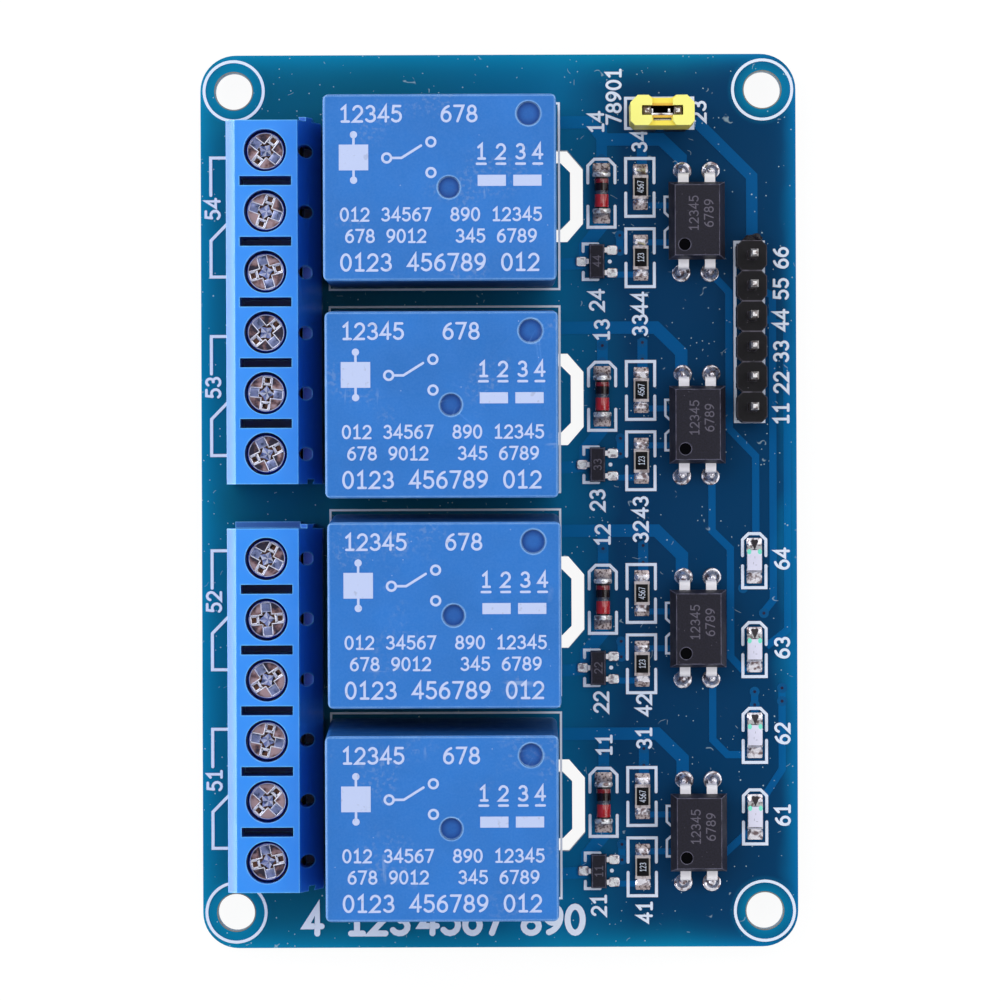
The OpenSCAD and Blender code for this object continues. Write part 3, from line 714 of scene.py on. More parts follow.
def silk_split_box(ink, centre, half, gap, cut):
    """Box round a small part, open on both sides between the two heights of gap.

    The corners of its upper end are cut, if cut isn't 0.
    """
    x, y = centre
    left, right = x - half[0], x + half[0]
    for start, end, corner in ((gap[0], y + half[1], cut), (gap[1], y - half[1], 0)):
        far = [(left, end), (right, end)]
        if corner:
            far = [(left, end - corner), (left + corner, end), (right - corner, end), (right, end - corner)]
        ink.stroke([(left, start), *far, (right, start)], SILK_W)


def silk_small_parts(ink, y):
    """Boxes and brackets of one channel."""
    silk_split_box(ink, (8.67, y + 0.24), (1.14, 2.86), (y + 1.1, y - 0.85), 0.55)
    silk_split_box(ink, (11.9, y + 0.72), (1.19, 2.43), (y + 1.1, y + 0.25), 0)
    silk_split_box(ink, (11.9, y - 5.19), (1.19, 2.43), (y - 4.8, y - 5.65), 0)
    ink.stroke([(7.12, y - 4.65), (7.12, y - 4.02), (8.35, y - 4.02)], SILK_W)
    ink.stroke([(7.12, y - 6.4), (7.12, y - 7.0), (8.35, y - 7.0)], SILK_W)
    ink.disc(9.35, y - 5.5, 0.17)
    ink.stroke([(14.35, y - 0.08), (13.98, y - 0.08), (13.98, y - 1.4), (14.35, y - 1.75)], 0.2)
    ink.stroke([(14.35, y - 2.62), (13.98, y - 2.95), (13.98, y - 4.32), (14.35, y - 4.32)], 0.2)


def silk_lights(ink):
    for low, high in solids_of("light_bodies"):
        x, y = middle_of(low, high)
        silk_split_box(ink, (x, y), (0.98, 2.27), (y + 0.42, y - 0.42), 0.5)


BRACKET_TOPS = (28.9, 13.9, -4.1, -19.1)


def silk_terminals(ink):
    """Brackets down the left edge, one for each relay's three poles."""
    for top in BRACKET_TOPS:
        ink.stroke([(-22.6, top), (-24.15, top), (-24.15, top - 3.15)], SILK_W)
        ink.stroke([(-22.5, top - 5.25), (-24.15, top - 6.95), (-24.15, top - 10), (-22.6, top - 10)], SILK_W)


def silk_headers(ink):
    ink.stroke(rectangle(19.86, 6.6, 22.25, 21.68), SILK_W, closed=True)
    ink.stroke(rectangle(10.72, 31.27, 16.37, 33.8), SILK_W, closed=True)


NUMBER_H = 1.15
NUMBER_W = 0.22
# Each channel's numbers stand a little differently: X, and Y from the middle of the channel
DIODE_NUMBERS = [(8.76, 5.04), (8.67, 5.63), (8.67, 5.8), (8.25, 6.2)]
TRANSISTOR_NUMBERS = [(8.25, -8.41), (8.5, -8.4), (8.25, -8.49), (8.25, -8.74)]
UPPER_RESISTOR_NUMBERS = [(12.1, 5.63), (11.87, 5.9), (11.87, 6.2), (11.87, 4.6)]
LOWER_RESISTOR_NUMBERS = [(12.1, -9.0), (12.1, -8.65), (11.87, -9.08), (11.87, -8.99)]


def silk_numbers(ink):
    """Plain numbers at each place that has a label, turned to read from the right."""
    def upright(text, x, y):
        ink.numerals(text, (x, y), NUMBER_H, NUMBER_W, 90)

    rows = (DIODE_NUMBERS, TRANSISTOR_NUMBERS, UPPER_RESISTOR_NUMBERS, LOWER_RESISTOR_NUMBERS)
    for tens, places in enumerate(rows, 1):
        for k, (x, dy) in enumerate(places):
            upright(f"{tens}{k + 1}", x, CHANNEL_Y[k] + dy)
    for units, top in zip("4321", BRACKET_TOPS):
        upright("5" + units, -24.0, top - 4.3)
    for i in range(6):
        upright(f"{6 - i}{6 - i}", 23.72, 20.35 - i * 2.62)
    for units, (low, high) in zip("1234", solids_of("light_bodies")):
        upright("6" + units, 23.72, (low.y + high.y) / 2 + 0.15)
    upright("78901", 9.72, 33.95)
    upright("23", 16.85, 32.65)


def silk_title(ink):
    """A plain row of numbers along the lower edge, partly under the first relay."""
    for text, x in (("4", -15.75), ("123", -10.3), ("4567", -3.3), ("890", 4.4)):
        ink.numerals(text, (x, -35.2), 2.2, 0.5)


def board_print():
    ink = Ink(Matrix.Translation((0, 0, TOP)))
    for x, y in MOUNT_AT:
        ink.ring(x, y, 2.49, 0.24, 64)
    silk_relays(ink)
    for y in CHANNEL_Y:
        silk_small_parts(ink, y)
    silk_lights(ink)
    silk_terminals(ink)
    silk_headers(ink)
    silk_numbers(ink)
    silk_title(ink)
    piece("board_print", ink.bm, ["board_ink"])


def hole_rims():
    """Bare edge of the board core round each mounting hole."""
    bm = bmesh.new()
    for x, y in MOUNT_AT:
        inner, outer = (ring_points(x, y, MOUNT["hole_r_mm"] + out, 64) for out in (0.005, 0.085))
        band(bm, inner, outer, TOP - 0.3, TOP + 0.012)
    piece("hole_rims", bm, ["board_core"])


def channel_tracks(k, y):
    """Copper of one channel: (path, width) of each track."""
    coil = [(1.56, y + 6), (13.2, y + 6), (15.33, y + 3.9), (15.33, y + 2.1)]
    if k == 3:
        coil = [(1.56, y + 6.2), (7.7, y + 6.2), (9, y + 4.75), (13.7, y + 4.75), (15.33, y + 3.2),
                (15.33, y + 2.1)]
    return [
        (coil, 1.05),
        ([(8.7, y + 6), (8.7, y + 2.6)], 0.9),
        ([(12.07, y + 5.0), (12.07, y + 2.4)], 0.85),
        ([(1.56, y - 6), (7.3, y - 5.6)], 1.0),
        ([(8.9, y - 2.2), (7.3, y - 4.2), (7.3, y - 5.4)], 1.1),
        ([(10.2, y - 3.2), (10.2, y - 4.9)], 0.62),
        ([(9.6, y - 6.6), (11.6, y - 6.6)], 0.5),
        ([(12.2, y - 0.8), (14.4, y - 0.8)], 0.5),
        ([(12.2, y - 3.9), (14.4, y - 3.9)], 0.5),
    ]


def signal_tracks():
    """Copper between the optocouplers, the lights and the control header."""
    right = 17.87
    y1, y2, y3, y4 = CHANNEL_Y
    return [
        ([(right, y3 - 6.5), (right, y3 - 11.1), (19.4, y3 - 12.6), (19.4, y3 - 21.7), (20.6, y3 - 23)],
         0.62),
        ([(right, y2 - 6.5), (right, y2 - 11.6), (19.1, y2 - 12.85), (20.6, y2 - 12.85)], 0.62),
        ([(18.6, y1 - 4.3), (20.8, y1 - 2.3)], 0.62),
        ([(right - 0.1, y4 - 6.4), (19.35, y4 - 8.1), (19.35, y4 - 19.6), (21.55, y4 - 21.9),
          (21.55, y4 - 28.6)], 0.62),
        ([(16.5, 32), (21.3, 27.2), (21.3, 20.6)], 0.97),
        ([(21.9, 17.7), (23.0, 17.2), (23.0, -8.4), (22.2, -9.4)], 0.62),
        ([(21.9, 15.4), (24.2, 14.6), (24.2, -10.9), (22.4, -12.3)], 0.62),
        ([(23.7, -15.7), (23.7, -22.6), (22.2, -24.9)], 0.62),
        ([(21.4, -16.0), (21.4, -18)], 0.62),
    ]


def via_places():
    """Where the through holes are: those of each channel, then the others."""
    rows = ((8.7, 4.5, 3), (12.07, 4.75, 3), (8.7, 3.1, 4), (12.07, 3.35, 3), (10.2, -3.3, 4),
            (10.2, -4.6, 4))
    places = [(x, y + dy) for x, dy, channels in rows for y in CHANNEL_Y[:channels]]
    return places + [(22.2, -9.5), (20.45, -7.4), (23.7, -15.8), (23.7, -16.9), (21.4, -16.1), (21.4, -17.2)]


def tracks():
    """Raised copper under the mask, and its through holes."""
    bm = bmesh.new()
    runs = signal_tracks()
    for k, y in enumerate(CHANNEL_Y):
        runs += channel_tracks(k, y)
    for i, (path, width) in enumerate(runs):
        left, right = sides_of(path, width, False)
        prism(bm, left + right[::-1], TOP - 0.02, TOP + TRACE_T + i % 5 * INK_STEP)
    piece("tracks", bm, ["trace_mask"])
    vias = bmesh.new()
    for x, y in via_places():
        prism(vias, ring_points(x, y, 0.42, 24), TOP - 0.02, TOP + TRACE_T + 0.012)
        band(vias, ring_points(x, y, 0.13, 16), ring_points(x, y, 0.24, 16), TOP, TOP + TRACE_T + 0.03)
        prism(vias, ring_points(x, y, 0.17, 16), TOP, TOP + TRACE_T + 0.02, 1)
    piece("vias", vias, ["via_mask", "via_hole"])


# ---------- solder ----------
def solder_wedge(bm, at, away, length, width, rise, wobble, bright):
    """Solder that climbs a part's end: high there, hollow on its way down, dull past its bright share."""
    steps, across = 8, 8
    grid = []
    for i in range(steps + 1):
        u = i / steps
        fall = rise * (1 - u) ** 2.3 + 0.07 * (1 - u ** 6)
        line = []
        for j in range(across + 1):
            v = 2 * j / across - 1
            ripple = 1 + wobble * math.sin(9 * u + 4 * v + at[0] + at[1])
            height = 0.062 + fall * ripple * (1 - 0.3 * v * v) * (1 - v ** 8)
            half = width / 2 * (1 - 0.08 * u ** 6)
            line.append(bm.verts.new((at[0] + v * half, at[1] + away * u * length, at[2] + height)))
        grid.append(line)
    for i, (a, b) in enumerate(zip(grid, grid[1:])):
        for j in range(across):
            bm.faces.new((a[j], a[j + 1], b[j + 1], b[j])).material_index = i >= bright * steps
    edge = [line[0] for line in grid] + grid[-1][1:] + [line[-1] for line in grid[-2::-1]] + grid[0][-2:0:-1]
    low = [bm.verts.new((v.co.x, v.co.y, at[2] - 0.01)) for v in edge]
    for i in range(len(edge)):
        j = (i + 1) % len(edge)
        bm.faces.new((edge[i], edge[j], low[j], low[i]))
    bm.faces.new(low)


# Metal ends, the bodies they are on, and their solder's reach, width, rise and bright share
SOLDERED_ENDS = (
    ("resistor_ends", "resistor_bodies", 1.0, 1.26, 0.42, 0.6),
    ("light_ends", "light_bodies", 0.98, 1.3, 0.4, 1),
    ("diode_ends", "diode_glasses", 0.85, 1.46, 0.62, 0),
)


def chip_solder():
    """Solder at the ends of the resistors, diodes and lights, and on the transistors' pads."""
    bm = bmesh.new()
    for ends, bodies, reach, width, rise, bright in SOLDERED_ENDS:
        middles = [(low + high) / 2 for low, high in solids_of(bodies)]
        for low, high in solids_of(ends):
            x, y = middle_of(low, high)
            body = min(middles, key=lambda m: (m.x - x) ** 2 + (m.y - y) ** 2)
            away = 1 if y > body.y else -1
            outer = high.y if away > 0 else low.y
            solder_wedge(bm, (x, outer - away * 0.08, TOP), away, reach, width, rise, 0.12, bright)
    for k in CHANNELS:
        low, high = box_mm(f"transistor_{k + 1}")
        x, y = middle_of(low, high)
        for dx, dy in ((-1.28, 0), (1.28, 0.95), (1.28, -0.95)):
            verts = prism(bm, rectangle(x + dx - 0.48, y + dy - 0.4, x + dx + 0.48, y + dy + 0.4, 0.12),
                          TOP - 0.01, TOP + 0.3, 2)
            rounded(bm, verts, 0.12, 4)
    piece("chip_solder", bm, ["solder", "dull_solder", "pad_solder"])


def through_joints():
    """Hollow cone of solder round each through-hole pin, under the board."""
    bm = bmesh.new()
    slope = ((0.3, 0.0), (1, 0.0), (1, -0.05), (0.78, -0.22), (0.58, -0.5), (0.47, -0.85), (0.42, -1.1),
             (0.3, -1.1), (0.3, 0.0))
    for low, high in solids_of("solder_joints"):
        radius = (high.x - low.x) / 2
        lathe(bm, [(radius * share, height) for share, height in slope], (*middle_of(low, high), 0), steps=20)
    piece("through_joints", bm, ["solder"], replaces=["solder_joints"])


def opto_joints():
    """Domed solder on the top side of each optocoupler pin."""
    bm = bmesh.new()
    profile = [(0, 0), (0.78, 0), (0.78, 0.05), (0.74, 0.09), (0.68, 0.1), (0.6, 0.16), (0.48, 0.34),
               (0.37, 0.6), (0.27, 0.78), (0.14, 0.86), (0, 0.88)]
    for k in CHANNELS:
        middle = centre_mm(f"optocoupler_{k + 1}")
        for sx in (-1, 1):
            for sy in (-1, 1):
                at = (middle.x + sx * 1.2 + 0.05 * sy, middle.y + sy * 4.27, TOP)
                lathe(bm, profile, at, turned(5 * sx, "Y") @ turned(7 * sy, "X"), steps=32)
    piece("opto_joints", bm, ["solder"])


# ---------- parts ----------
# How far an optocoupler's leads stand out from its middle, above the board and in it
LEAD_OUT = 3.9
LEAD_IN_BOARD = 4.3


def opto_leads():
    """Flat leads that bend down from the bodies and narrow into the board."""
    bm = bmesh.new()
    thick, curve = 0.25, 0.3
    for k in CHANNELS:
        low, high = box_mm(f"optocoupler_{k + 1}")
        middle, length = (low + high) / 2, high.y - low.y
        shoulder = middle.z
        for sx in (-1, 1):
            for sy in (-1, 1):
                bend = [(LEAD_OUT - curve + curve * math.sin(a), shoulder - curve + curve * math.cos(a))
                        for a in (math.radians(15 * i) for i in range(7))]
                wide = [(length / 2 - 0.25, shoulder)] + bend + [(LEAD_OUT, TOP + 0.7)]
                verts = sweep(bm, wide, 0.88, thick)
                narrow = [(LEAD_OUT, TOP + 0.75), (LEAD_IN_BOARD, TOP + 0.3), (LEAD_IN_BOARD, -1.3)]
                verts += sweep(bm, narrow, 0.5, thick)
                moved(bm, verts, Matrix.Translation((middle.x + sx * 1.11, middle.y, 0))
                      @ Matrix.Scale(sy, 4, (0, 1, 0)))
    piece("opto_leads", bm, ["tinned_lead"], replaces=["optocoupler_leads"])


def diodes():
    """Glass diode: red at both sides of a dark band, a clear gap beside it, and two metal ends."""
    bm = bmesh.new()
    ends = bmesh.new()
    turn = turned(-90, "X")
    glass, dark, clear, deep = range(4)
    for low, high in solids_of("diode_glasses"):
        at = (low + high) / 2
        radius, half = (high.z - low.z) / 2 * 0.86, (high.y - low.y) / 2
        lathe(bm, [(0, -half), (radius * 0.9, -half, dark), (radius, -half + 0.1, dark),
                   (radius, -half + 0.2, glass), (radius, -0.14, glass), (radius * 0.92, -0.06, clear),
                   (radius * 0.92, 0.1, clear), (radius, 0.18, clear), (radius, 0.2, dark),
                   (radius, 0.82, dark), (radius, half - 0.14, deep), (radius * 0.9, half, dark),
                   (0, half, dark)], at, turn, 32)
    for low, high in solids_of("diode_ends"):
        at = (low + high) / 2
        radius, half = (high.z - low.z) / 2, (high.y - low.y) / 2
        lathe(ends, [(0, -half), (radius * 0.72, -half), (radius * 0.93, -half * 0.8), (radius, -half * 0.4),
                     (radius, half * 0.4), (radius * 0.93, half * 0.8), (radius * 0.72, half), (0, half)],
              at, turn, 32)
    piece("diode_bodies", bm, ["diode_glass", "diode_band", "diode_clear_glass", "diode_deep_glass"],
          replaces=["diode_glasses"])
    piece("diode_caps", ends, ["bright_tin"], replaces=["diode_ends"])


def light_details():
    """What shows on each light: clear lens, metal tabs, green spots, a dark heart-shaped painted reflection on the
    metal at its marked end, and small grey marks, one a band of painted shade across its lower end.
    """
    bm = bmesh.new()
    lens, green, reflection, metal, faint = range(5)
    for low, high in solids_of("light_bodies"):
        x, y = middle_of(low, high)
        z = high.z
        box(bm, (x - 0.6, y - 0.82, z - 0.02), (x + 0.6, y + 0.9, z + 0.08), 0.04, lens)
        for side in (-1, 1):
            spot = ring_points(0, 0, 1, 16)
            prism(bm, [(x + side * 0.44 + px * 0.17, y + 0.76 + py * 0.22) for px, py in spot],
                  z + 0.05, z + 0.088, green)
        prism(bm, [(x - 0.62, y + 0.92), (x - 0.25, y + 0.92), (x, y + 1.0), (x + 0.25, y + 0.92),
                   (x + 0.62, y + 0.92), (x + 0.62, y + 1.3), (x - 0.62, y + 1.3)], z - 0.02, z + 0.06, metal)
        # Painted reflection: a dark heart shape over the metal end.
        heart = arc(x - 0.15, y + 1.62, 0.16, 0.16, 180, 50, 6)
        heart += arc(x + 0.15, y + 1.62, 0.16, 0.16, 130, 0, 6)
        prism(bm, heart + [(x + 0.03, y + 0.98), (x - 0.03, y + 0.98)], TOP, z + 0.07, reflection)
        # Painted shade: a grey band across the lower end.
        prism(bm, rectangle(x - 0.6, y - 0.98, x + 0.6, y - 0.9), z - 0.02, z + 0.03, faint)
        for dx, dy, w, h in ((0.0, 0.2, 0.05, 0.16), (-0.12, -0.3, 0.05, 0.2), (0.05, -0.38, 0.16, 0.05)):
            prism(bm, rectangle(x + dx, y + dy, x + dx + w, y + dy + h), z + 0.05, z + 0.084, faint)
    piece("light_details", bm, ["light_lens", "light_mark", "light_end_reflection", "bright_tin", "light_shade"])


def resistor_films():
    """Dark film on each resistor, inside the pale edge of its body."""
    bm = bmesh.new()
    for low, high in solids_of("resistor_bodies"):
        box(bm, (low.x + 0.13, low.y - 0.05, high.z - 0.01),
            (high.x - 0.13, high.y + 0.05, high.z + 0.06), 0.015)
    piece("resistor_films", bm, ["resistor_film"])


def header_stub():
    """Ragged stub at the far end of the control header, where its strip was snapped off."""
    low, high = box_mm("header_strip")
    bm = bmesh.new()
    x, y = (low.x + high.x) / 2, high.y
    outline = [(-0.95, -0.1), (-0.6, 0.22), (-0.35, 0.5), (-0.1, 0.34), (0.1, 0.52), (0.45, 0.62),
               (0.75, 0.5), (0.82, 0.2), (0.95, -0.1)]
    verts = prism(bm, [(x + dx, y + dy) for dx, dy in outline], high.z - 1.1, high.z - 0.25)
    rounded(bm, verts, 0.1)
    for dx, dy, r, z in ((0.5, 0.26, 0.3, 0.12), (-0.25, 0.2, 0.22, 0.2), (0.1, 0.3, 0.16, 0.26)):
        lathe(bm, [(0, 0), (r, 0), (r * 0.8, r * 0.4), (r * 0.3, r * 0.7), (0, r * 0.75)],
              (x + dx, y + dy, high.z - z - 0.2), steps=9)
    piece("header_stub", bm, ["snapped_plastic"], crease=20)


def part_marks():
    """Plain numbers on the optocouplers, transistors and resistors, and a dark disc of painted shade in each
    optocoupler's dimple.
    """
    for k in CHANNELS:
        low, high = box_mm(f"optocoupler_{k + 1}")
        middle = (low + high) / 2
        # Painted shade: a dark disc just under the top face, in the dimple.
        pit_shade = bmesh.new()
        lathe(pit_shade, [(0, -0.115), (0.49, -0.115), (0.49, -0.1), (0, -0.1)],
              (middle.x - 1.06, middle.y - 2.04, high.z))
        piece(f"opto_pit_shade_{k + 1}", pit_shade, ["moulding_pit_shade"])
        ink = Ink(Matrix.Translation((0, 0, high.z)), 0.008)
        ink.numerals("12345", (middle.x - 0.3, middle.y + 0.55), 0.72, 0.1, 90)
        ink.numerals("6789", (middle.x + 0.95, middle.y + 0.55), 0.72, 0.1, 90)
        piece(f"opto_mark_{k + 1}", ink.bm, ["moulding_mark"])
    ink = Ink(thickness=0.008)
    for k in CHANNELS:
        low, high = box_mm(f"transistor_{k + 1}")
        ink.plane = Matrix.Translation((0, 0, high.z))
        ink.numerals(str(k + 1) * 2, middle_of(low, high), 0.62, 0.09, 90)
    piece("transistor_marks", ink.bm, ["moulding_mark"])
    ink = Ink(thickness=0.008)
    for i, (low, high) in enumerate(solids_of("resistor_bodies")):
        ink.plane = Matrix.Translation((0, 0, high.z + 0.058))
        ink.numerals(("123", "4567")[i % 2], middle_of(low, high), 0.5, 0.05, 90, 0.62)
    piece("resistor_marks", ink.bm, ["board_ink"])


def jumper_clip():
    """Folded spring strip inside the cap, seen through its window, with a tab against each pin."""
    low, high = box_mm("jumper_clip")
    x, y = middle_of(low, high)
    bm = bmesh.new()
    for side in (-0.75, 0.75):
        box(bm, (low.x + 0.1, y + side - 0.08, low.z), (high.x - 0.1, y + side + 0.08, high.z), 0.04)
    box(bm, (x - 0.92, y - 0.44, low.z), (x + 0.92, y - 0.2, high.z + 0.2), 0.05)
    for tab in (-0.86, 0.56):
        box(bm, (x + tab - 0.1, y - 0.2, low.z + 1), (x + tab + 0.1, y + 0.18, high.z + 0.12), 0.05)
    piece("jumper_spring", bm, ["bright_tin"], body="jumper", replaces=["jumper_clip"])


# Besides steel and lands, the screw's finishes are painted highlight, shade and reflection on the one plating.
SCREW_FINISHES = ("screw_steel", "screw_land", "screw_recess_shade", "screw_pocket_shade", "screw_edge_highlight", "screw_side_well_reflection")
STEEL, LAND, RECESS, POCKET, EDGE, FLANK = range(6)
SCREW_TURNS = (12, 47, 78, 33, 5, 62, 25, 84, 40, 16, 70, 52)
# The cross recess: half width and length of its arms, and its depth
ARM = 0.42
REACH = 1.4
DEEP = 0.75


def cross_outline(arm, reach):
    """Outline of an upright cross, from the right-hand arm round."""
    corners = []
    for turn in range(4):
        spin = Matrix.Rotation(math.radians(90 * turn), 2)
        corners += [tuple(spin @ Vector(p)) for p in ((reach, -arm), (reach, arm), (arm, arm))]
    return corners


def screw_head(bm, low, top, radius):
    """Shank and head, turned on a lathe, with four lands that leave a cross between them."""
    lathe(bm, [(0, low, STEEL), (1.25, low, STEEL), (1.25, top - 1.6, STEEL), (radius, top - 1.6, STEEL),
               (radius, top - 0.5, STEEL), (radius - 0.14, top - 0.16, FLANK),
               (radius - 0.14, top - 0.08, FLANK), (radius - 0.17, top - 0.04, EDGE),
               (radius - 0.22, top - 0.04, EDGE), (radius - 0.24, top - 0.1, LAND),
               (radius - 0.24, top - DEEP, LAND), (0, top - DEEP, POCKET)], steps=48)
    outer = radius - 0.15
    inner = outer - 0.1
    start = math.degrees(math.asin(ARM / outer))
    for turn in range(4):
        outline = arc(0, 0, inner, inner, start, 90 - start, 12) + [(ARM, ARM)]
        moved(bm, prism(bm, outline, top - DEEP, top - 0.04, LAND), turned(90 * turn))


def screw_cross(bm, top):
    """Rim of the cross in a painted highlight, a floor of painted shade and a square pocket in a painted highlight
    in two of its arms, and a star at its middle whose facets take painted highlight and painted shade in turn.
    """
    rim = band(bm, cross_outline(ARM - 0.07, REACH - 0.07), cross_outline(ARM + 0.03, REACH + 0.03),
               top - 0.35, top, EDGE)
    rounded(bm, rim, 0.03)
    for side in (-1, 1):
        near, far = sorted((side * REACH, side * 0.6))
        arm_floor = prism(bm, rectangle(-ARM + 0.03, near, ARM - 0.03, far), top - DEEP, top - 0.2, RECESS)
        rounded(bm, arm_floor, 0.03)
        pocket = band(bm, rectangle(side * 1.08 - 0.2, -0.22, side * 1.08 + 0.2, 0.22),
                      rectangle(side * 1.04 - 0.4, -ARM + 0.03, side * 1.04 + 0.4, ARM - 0.03),
                      top - DEEP, top - 0.1, EDGE)
        rounded(bm, pocket, 0.05)
    star = [(math.radians(45 * i), (0.66, 0.4)[i % 2], (0.24, 0.1)[i % 2]) for i in range(8)]
    ring = [bm.verts.new((r * math.cos(a), r * math.sin(a), top - down)) for a, r, down in star]
    hub = bm.verts.new((0.06, -0.04, top - 0.55))
    for i in range(8):
        bm.faces.new((ring[i], ring[(i + 1) % 8], hub)).material_index = (EDGE, RECESS)[i % 2]


def screw(n):
    """Plated clamp screw, turned as in the photo, on its own body."""
    node, body = f"terminal_screw_{n + 1:02d}", f"screw_{n + 1:02d}"
    low, high = box_mm(node)
    middle = (low + high) / 2
    bm = bmesh.new()
    screw_head(bm, low.z, high.z, (high.x - low.x) / 2)
    screw_cross(bm, high.z)
    moved(bm, bm.verts, Matrix.Translation((middle.x, middle.y, 0)) @ turned(SCREW_TURNS[n]))
    piece(body, bm, SCREW_FINISHES, body=body, replaces=[node], crease=25)


def relay_print(k):
    """Generic print on a relay's top: plain numbers, and the plan of a coil and a changeover contact."""
    ink = Ink(relay_frame(k) @ Matrix.Translation((0, 0, RELAY_TOP - 0.005)), 0.012)
    line = 0.2
    ink.numerals("12345", (-5.6, 6.0), 1.25, line)
    ink.numerals("678", (1.6, 6.0), 1.25, line)
    relay_plan(ink, line)
    for text, x in (("1", 3.4), ("2", 5.0), ("3", 6.6), ("4", 8.0)):
        ink.numerals(text, (x, 2.9), 1.15, line)
        ink.stroke([(x - 0.35, 1.9), (x + 0.35, 1.9)], line)
    ink.field(rectangle(3.1, 0.1, 5.4, 1.0))
    ink.field(rectangle(6.0, 0.1, 8.3, 1.0))
    for y, left, right in ((-2.2, "012 34567", "890 12345"), (-3.95, "678 9012", "345 6789")):
        ink.numerals(left, (-4.4, y), 1.0, 0.17)
        ink.numerals(right, (4.6, y), 1.0, 0.17)
    ink.numerals("0123 456789 012", (0.0, -6.1), 1.3, line)
    piece(f"relay_print_{k + 1}", ink.bm, ["relay_ink"])


def relay_plan(ink, line):
    """Plan of the pins: a coil between two terminals, and a contact that changes over between two more."""
    ink.field(rectangle(-8.2, 1.4, -5.8, 3.5))
    for y, end in ((3.5, 4.3), (1.4, 0.6)):
        ink.stroke([(-7.0, y), (-7.0, end)], line)
        ink.disc(-7.0, end, 0.3)
    ink.ring(-4.3, 2.4, 0.36, line, 20)
    ink.stroke([(-3.9, 2.4), (-3.1, 2.4), (-1.5, 3.4)], line)
    for y in (3.7, 1.2):
        ink.ring(-0.7, y, 0.36, line, 20)


# ---------- CAD nodes that stay ----------
CAD_FINISHES = {
    "circuit_board": ("solder_mask", 0),
    "terminal_housing_lower": ("terminal_plastic", 0.06),
    "terminal_housing_upper": ("terminal_plastic", 0.06),
    "terminal_brackets": ("brass", 0.05),
    "wire_guards": ("spring_steel", 0),
    "relay_yokes": ("relay_steel", 0),
    "relay_bobbins": ("bobbin_plastic", 0),
    "relay_windings": ("winding_copper", 0),
    "relay_contacts": ("brass", 0),
    "relay_coil_pins": ("tinned_lead", 0),
    "header_strip": ("header_plastic", 0.05),
    "jumper_strip": ("header_plastic", 0.05),
    "header_pins": ("pin_plating", 0.03),
    "jumper_pins": ("pin_plating", 0.03),
    "jumper_cap": ("jumper_plastic", 0.12),
    "transistor_leads": ("tinned_lead", 0.03),
    "resistor_bodies": ("resistor_body", 0.02),
    "resistor_ends": ("end_metal", 0.04),
    "light_bodies": ("light_ceramic", 0.03),
    "light_ends": ("bright_tin", 0.04),
}
CHANNEL_FINISHES = {
    "relay_case": ("relay_plastic", 0.1),
    "relay_base": ("relay_base_plastic", 0),
    "relay_armature": ("relay_steel", 0),
    "optocoupler": ("chip_moulding", 0.05),
    "transistor": ("chip_moulding", 0.03),
}


def soften(node, finish, bevel):
    """Gives a CAD node its finish, and edges rounded by bevel millimetres if asked."""
    shown = frame["nodes"][node]
    shown.data.materials.clear()
    shown.data.materials.append(FINISHES[finish].material)
    if bevel:
        weld = shown.modifiers.new("weld", "WELD")
        weld.merge_threshold = 0.0005 * MM
        edge = shown.modifiers.new("edges", "BEVEL")
        edge.width = bevel * MM
        edge.segments = 2
        edge.limit_method = "ANGLE"
        edge.angle_limit = math.radians(30)
        edge.harden_normals = False
        edge.use_clamp_overlap = True


def finish_frame():
    for node, look in CAD_FINISHES.items():
        soften(node, *look)
    for k in CHANNELS:
        for kind, look in CHANNEL_FINISHES.items():
            soften(f"{kind}_{k + 1}", *look)


# ---------- studio ----------
CAMERA_HEIGHT = 500
VIEW_WIDTH = 84.12
CAMERA_ROLL = -0.2
# Brightness of the room by height: what is seen of it, and the light it gives low down and overhead
ROOM_SEEN = ((0.0, 1.0), (0.6, 0.7), (0.97, 0.1))
ROOM_LIGHT = (0.05, 0.72)
FLOOR_GLOW = 0.88
# Each lamp: name, azimuth, elevation, size in metres, brightness
LAMPS = (
    ("left_softbox", 180, 14, (0.6, 0.28), 2.2),
    ("left_strip", 180, 5, (0.6, 0.07), 9.5),
    ("left_overhead", 150, 56, (0.35, 0.3), 1.7),
    ("right_overhead", 20, 58, (0.35, 0.3), 0.8),
    ("right_softbox", 0, 30, (0.5, 0.3), 0.3),
    ("right_strip", 4, 56, (0.4, 0.05), 3.5),
    ("far_softbox", 90, 62, (0.6, 0.3), 0.8),
    ("near_softbox", 270, 58, (0.6, 0.3), 0.5),
)
LAMP_DISTANCE = 0.55


def camera():
    """Looks straight down, as far off as a product photograph is taken from."""
    data = bpy.data.cameras.new("camera")
    data.sensor_width = 36
    data.lens = data.sensor_width * CAMERA_HEIGHT / VIEW_WIDTH
    data.clip_start = 0.01
    data.clip_end = 10
    made = bpy.data.objects.new("camera", data)
    made.location = (0.10 * MM, 0.04 * MM, (TOP + CAMERA_HEIGHT) * MM)
    made.rotation_euler.z = math.radians(CAMERA_ROLL)
    bpy.context.scene.collection.objects.link(made)
    bpy.context.scene.camera = made


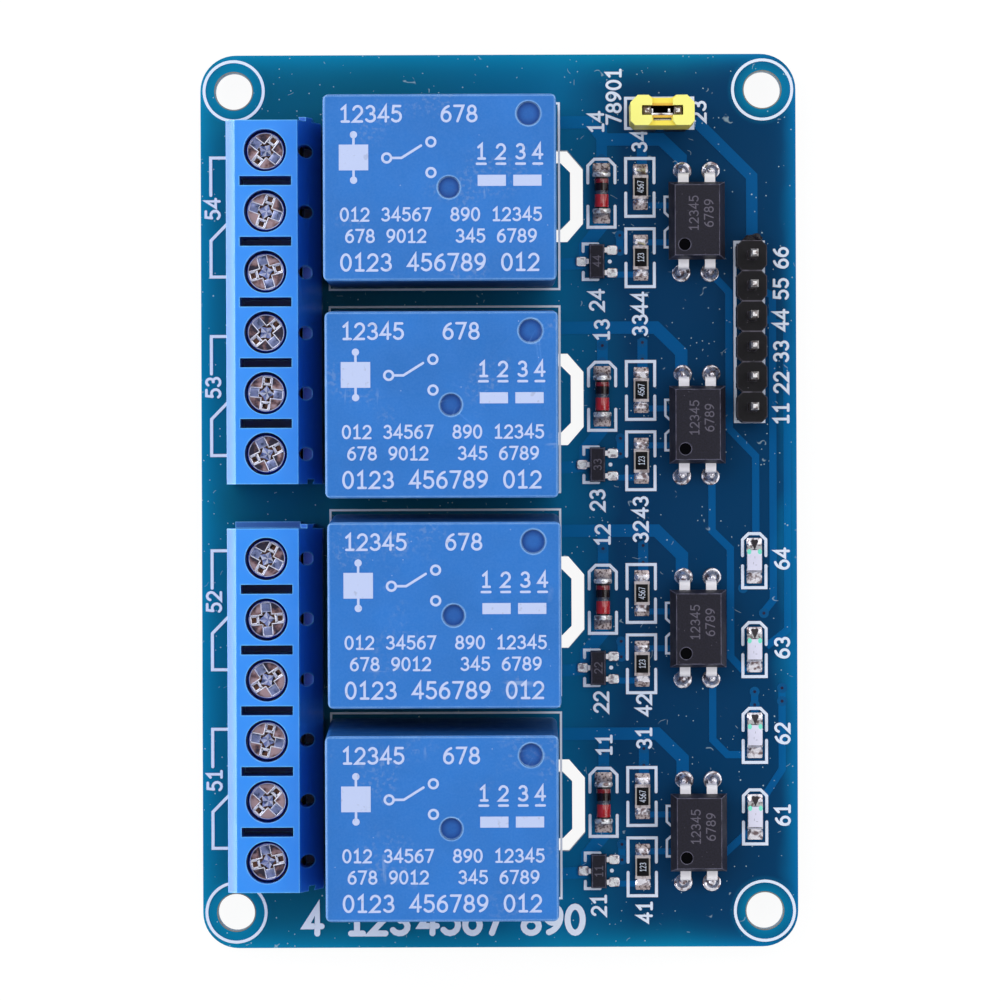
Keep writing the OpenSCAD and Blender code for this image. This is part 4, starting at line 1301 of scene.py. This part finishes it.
def softbox(name, azimuth, elevation, size, level):
    """Rectangular lamp that looks at the board's centre; level is how bright its face is, 1 being white."""
    data = bpy.data.lights.new(name, "AREA")
    data.shape = "RECTANGLE"
    data.size, data.size_y = size
    data.energy = level * math.pi * size[0] * size[1]
    made = bpy.data.objects.new(name, data)
    a, e = math.radians(azimuth), math.radians(elevation)
    towards = Vector((math.cos(a) * math.cos(e), math.sin(a) * math.cos(e), math.sin(e)))
    made.location = towards * LAMP_DISTANCE
    made.rotation_mode = "QUATERNION"
    made.rotation_quaternion = towards.to_track_quat("Z", "Y")
    bpy.context.scene.collection.objects.link(made)


def seen_directly(nodes):
    """1 for camera, glossy and transmission rays, 0 for the rays that light the object."""
    rays = nodes.node("LightPath").outputs
    near = nodes.math("MAXIMUM", rays["Is Camera Ray"], rays["Is Glossy Ray"])
    return nodes.math("MAXIMUM", near, rays["Is Transmission Ray"])


def surroundings():
    """Studio room, which lights from above.

    To the eye and in reflections it is white all round and dim overhead.
    """
    world = bpy.data.worlds.new("studio")
    bpy.context.scene.world = world
    world.use_nodes = True
    room = Nodes(world.node_tree)
    height = room.node("SeparateXYZ", _0=room.node("TexCoord").outputs["Generated"]).outputs["Z"]
    seen = room.ramp(height, *((at, (level, level, level, 1)) for at, level in ROOM_SEEN))
    strength = room.span(seen_directly(room), 0, 1, room.span(height, 0, 1, *ROOM_LIGHT), seen)
    background = room.tree.nodes["Background"]
    room.plug(background, "Strength", strength)
    room.plug(background, "Color", (1, 1, 1, 1))


def floor():
    """White table that stays white to the eye and in reflections, and keeps the soft shadow."""
    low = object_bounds()[0]
    bpy.ops.mesh.primitive_circle_add(vertices=96, radius=3, fill_type="NGON", location=(0, 0, low.z))
    made = bpy.context.object
    made.name = "table"
    material = bpy.data.materials.new("table")
    material.use_nodes = True
    table = Nodes(material.node_tree)
    table.tree.nodes.clear()
    diffuse = table.node("BsdfDiffuse", Color=(0.85, 0.85, 0.85, 1))
    glow = table.node("Emission", Strength=1.05)
    share = table.span(seen_directly(table), 0, 1, 0, FLOOR_GLOW)
    mix = table.node("MixShader", Fac=share, _1=diffuse.outputs[0], _2=glow.outputs[0])
    table.node("OutputMaterial", Surface=mix.outputs[0])
    made.data.materials.append(material)


def studio():
    bpy.context.scene.view_settings.view_transform = "Standard"
    camera()
    surroundings()
    for lamp in LAMPS:
        softbox(*lamp)


make_finishes()
finish_frame()
tracks()
board_print()
hole_rims()
through_joints()
opto_joints()
chip_solder()
opto_leads()
diodes()
light_details()
resistor_films()
jumper_clip()
header_stub()
part_marks()
for n in POLES:
    screw(n)
for k in CHANNELS:
    relay_print(k)
floor()
studio()
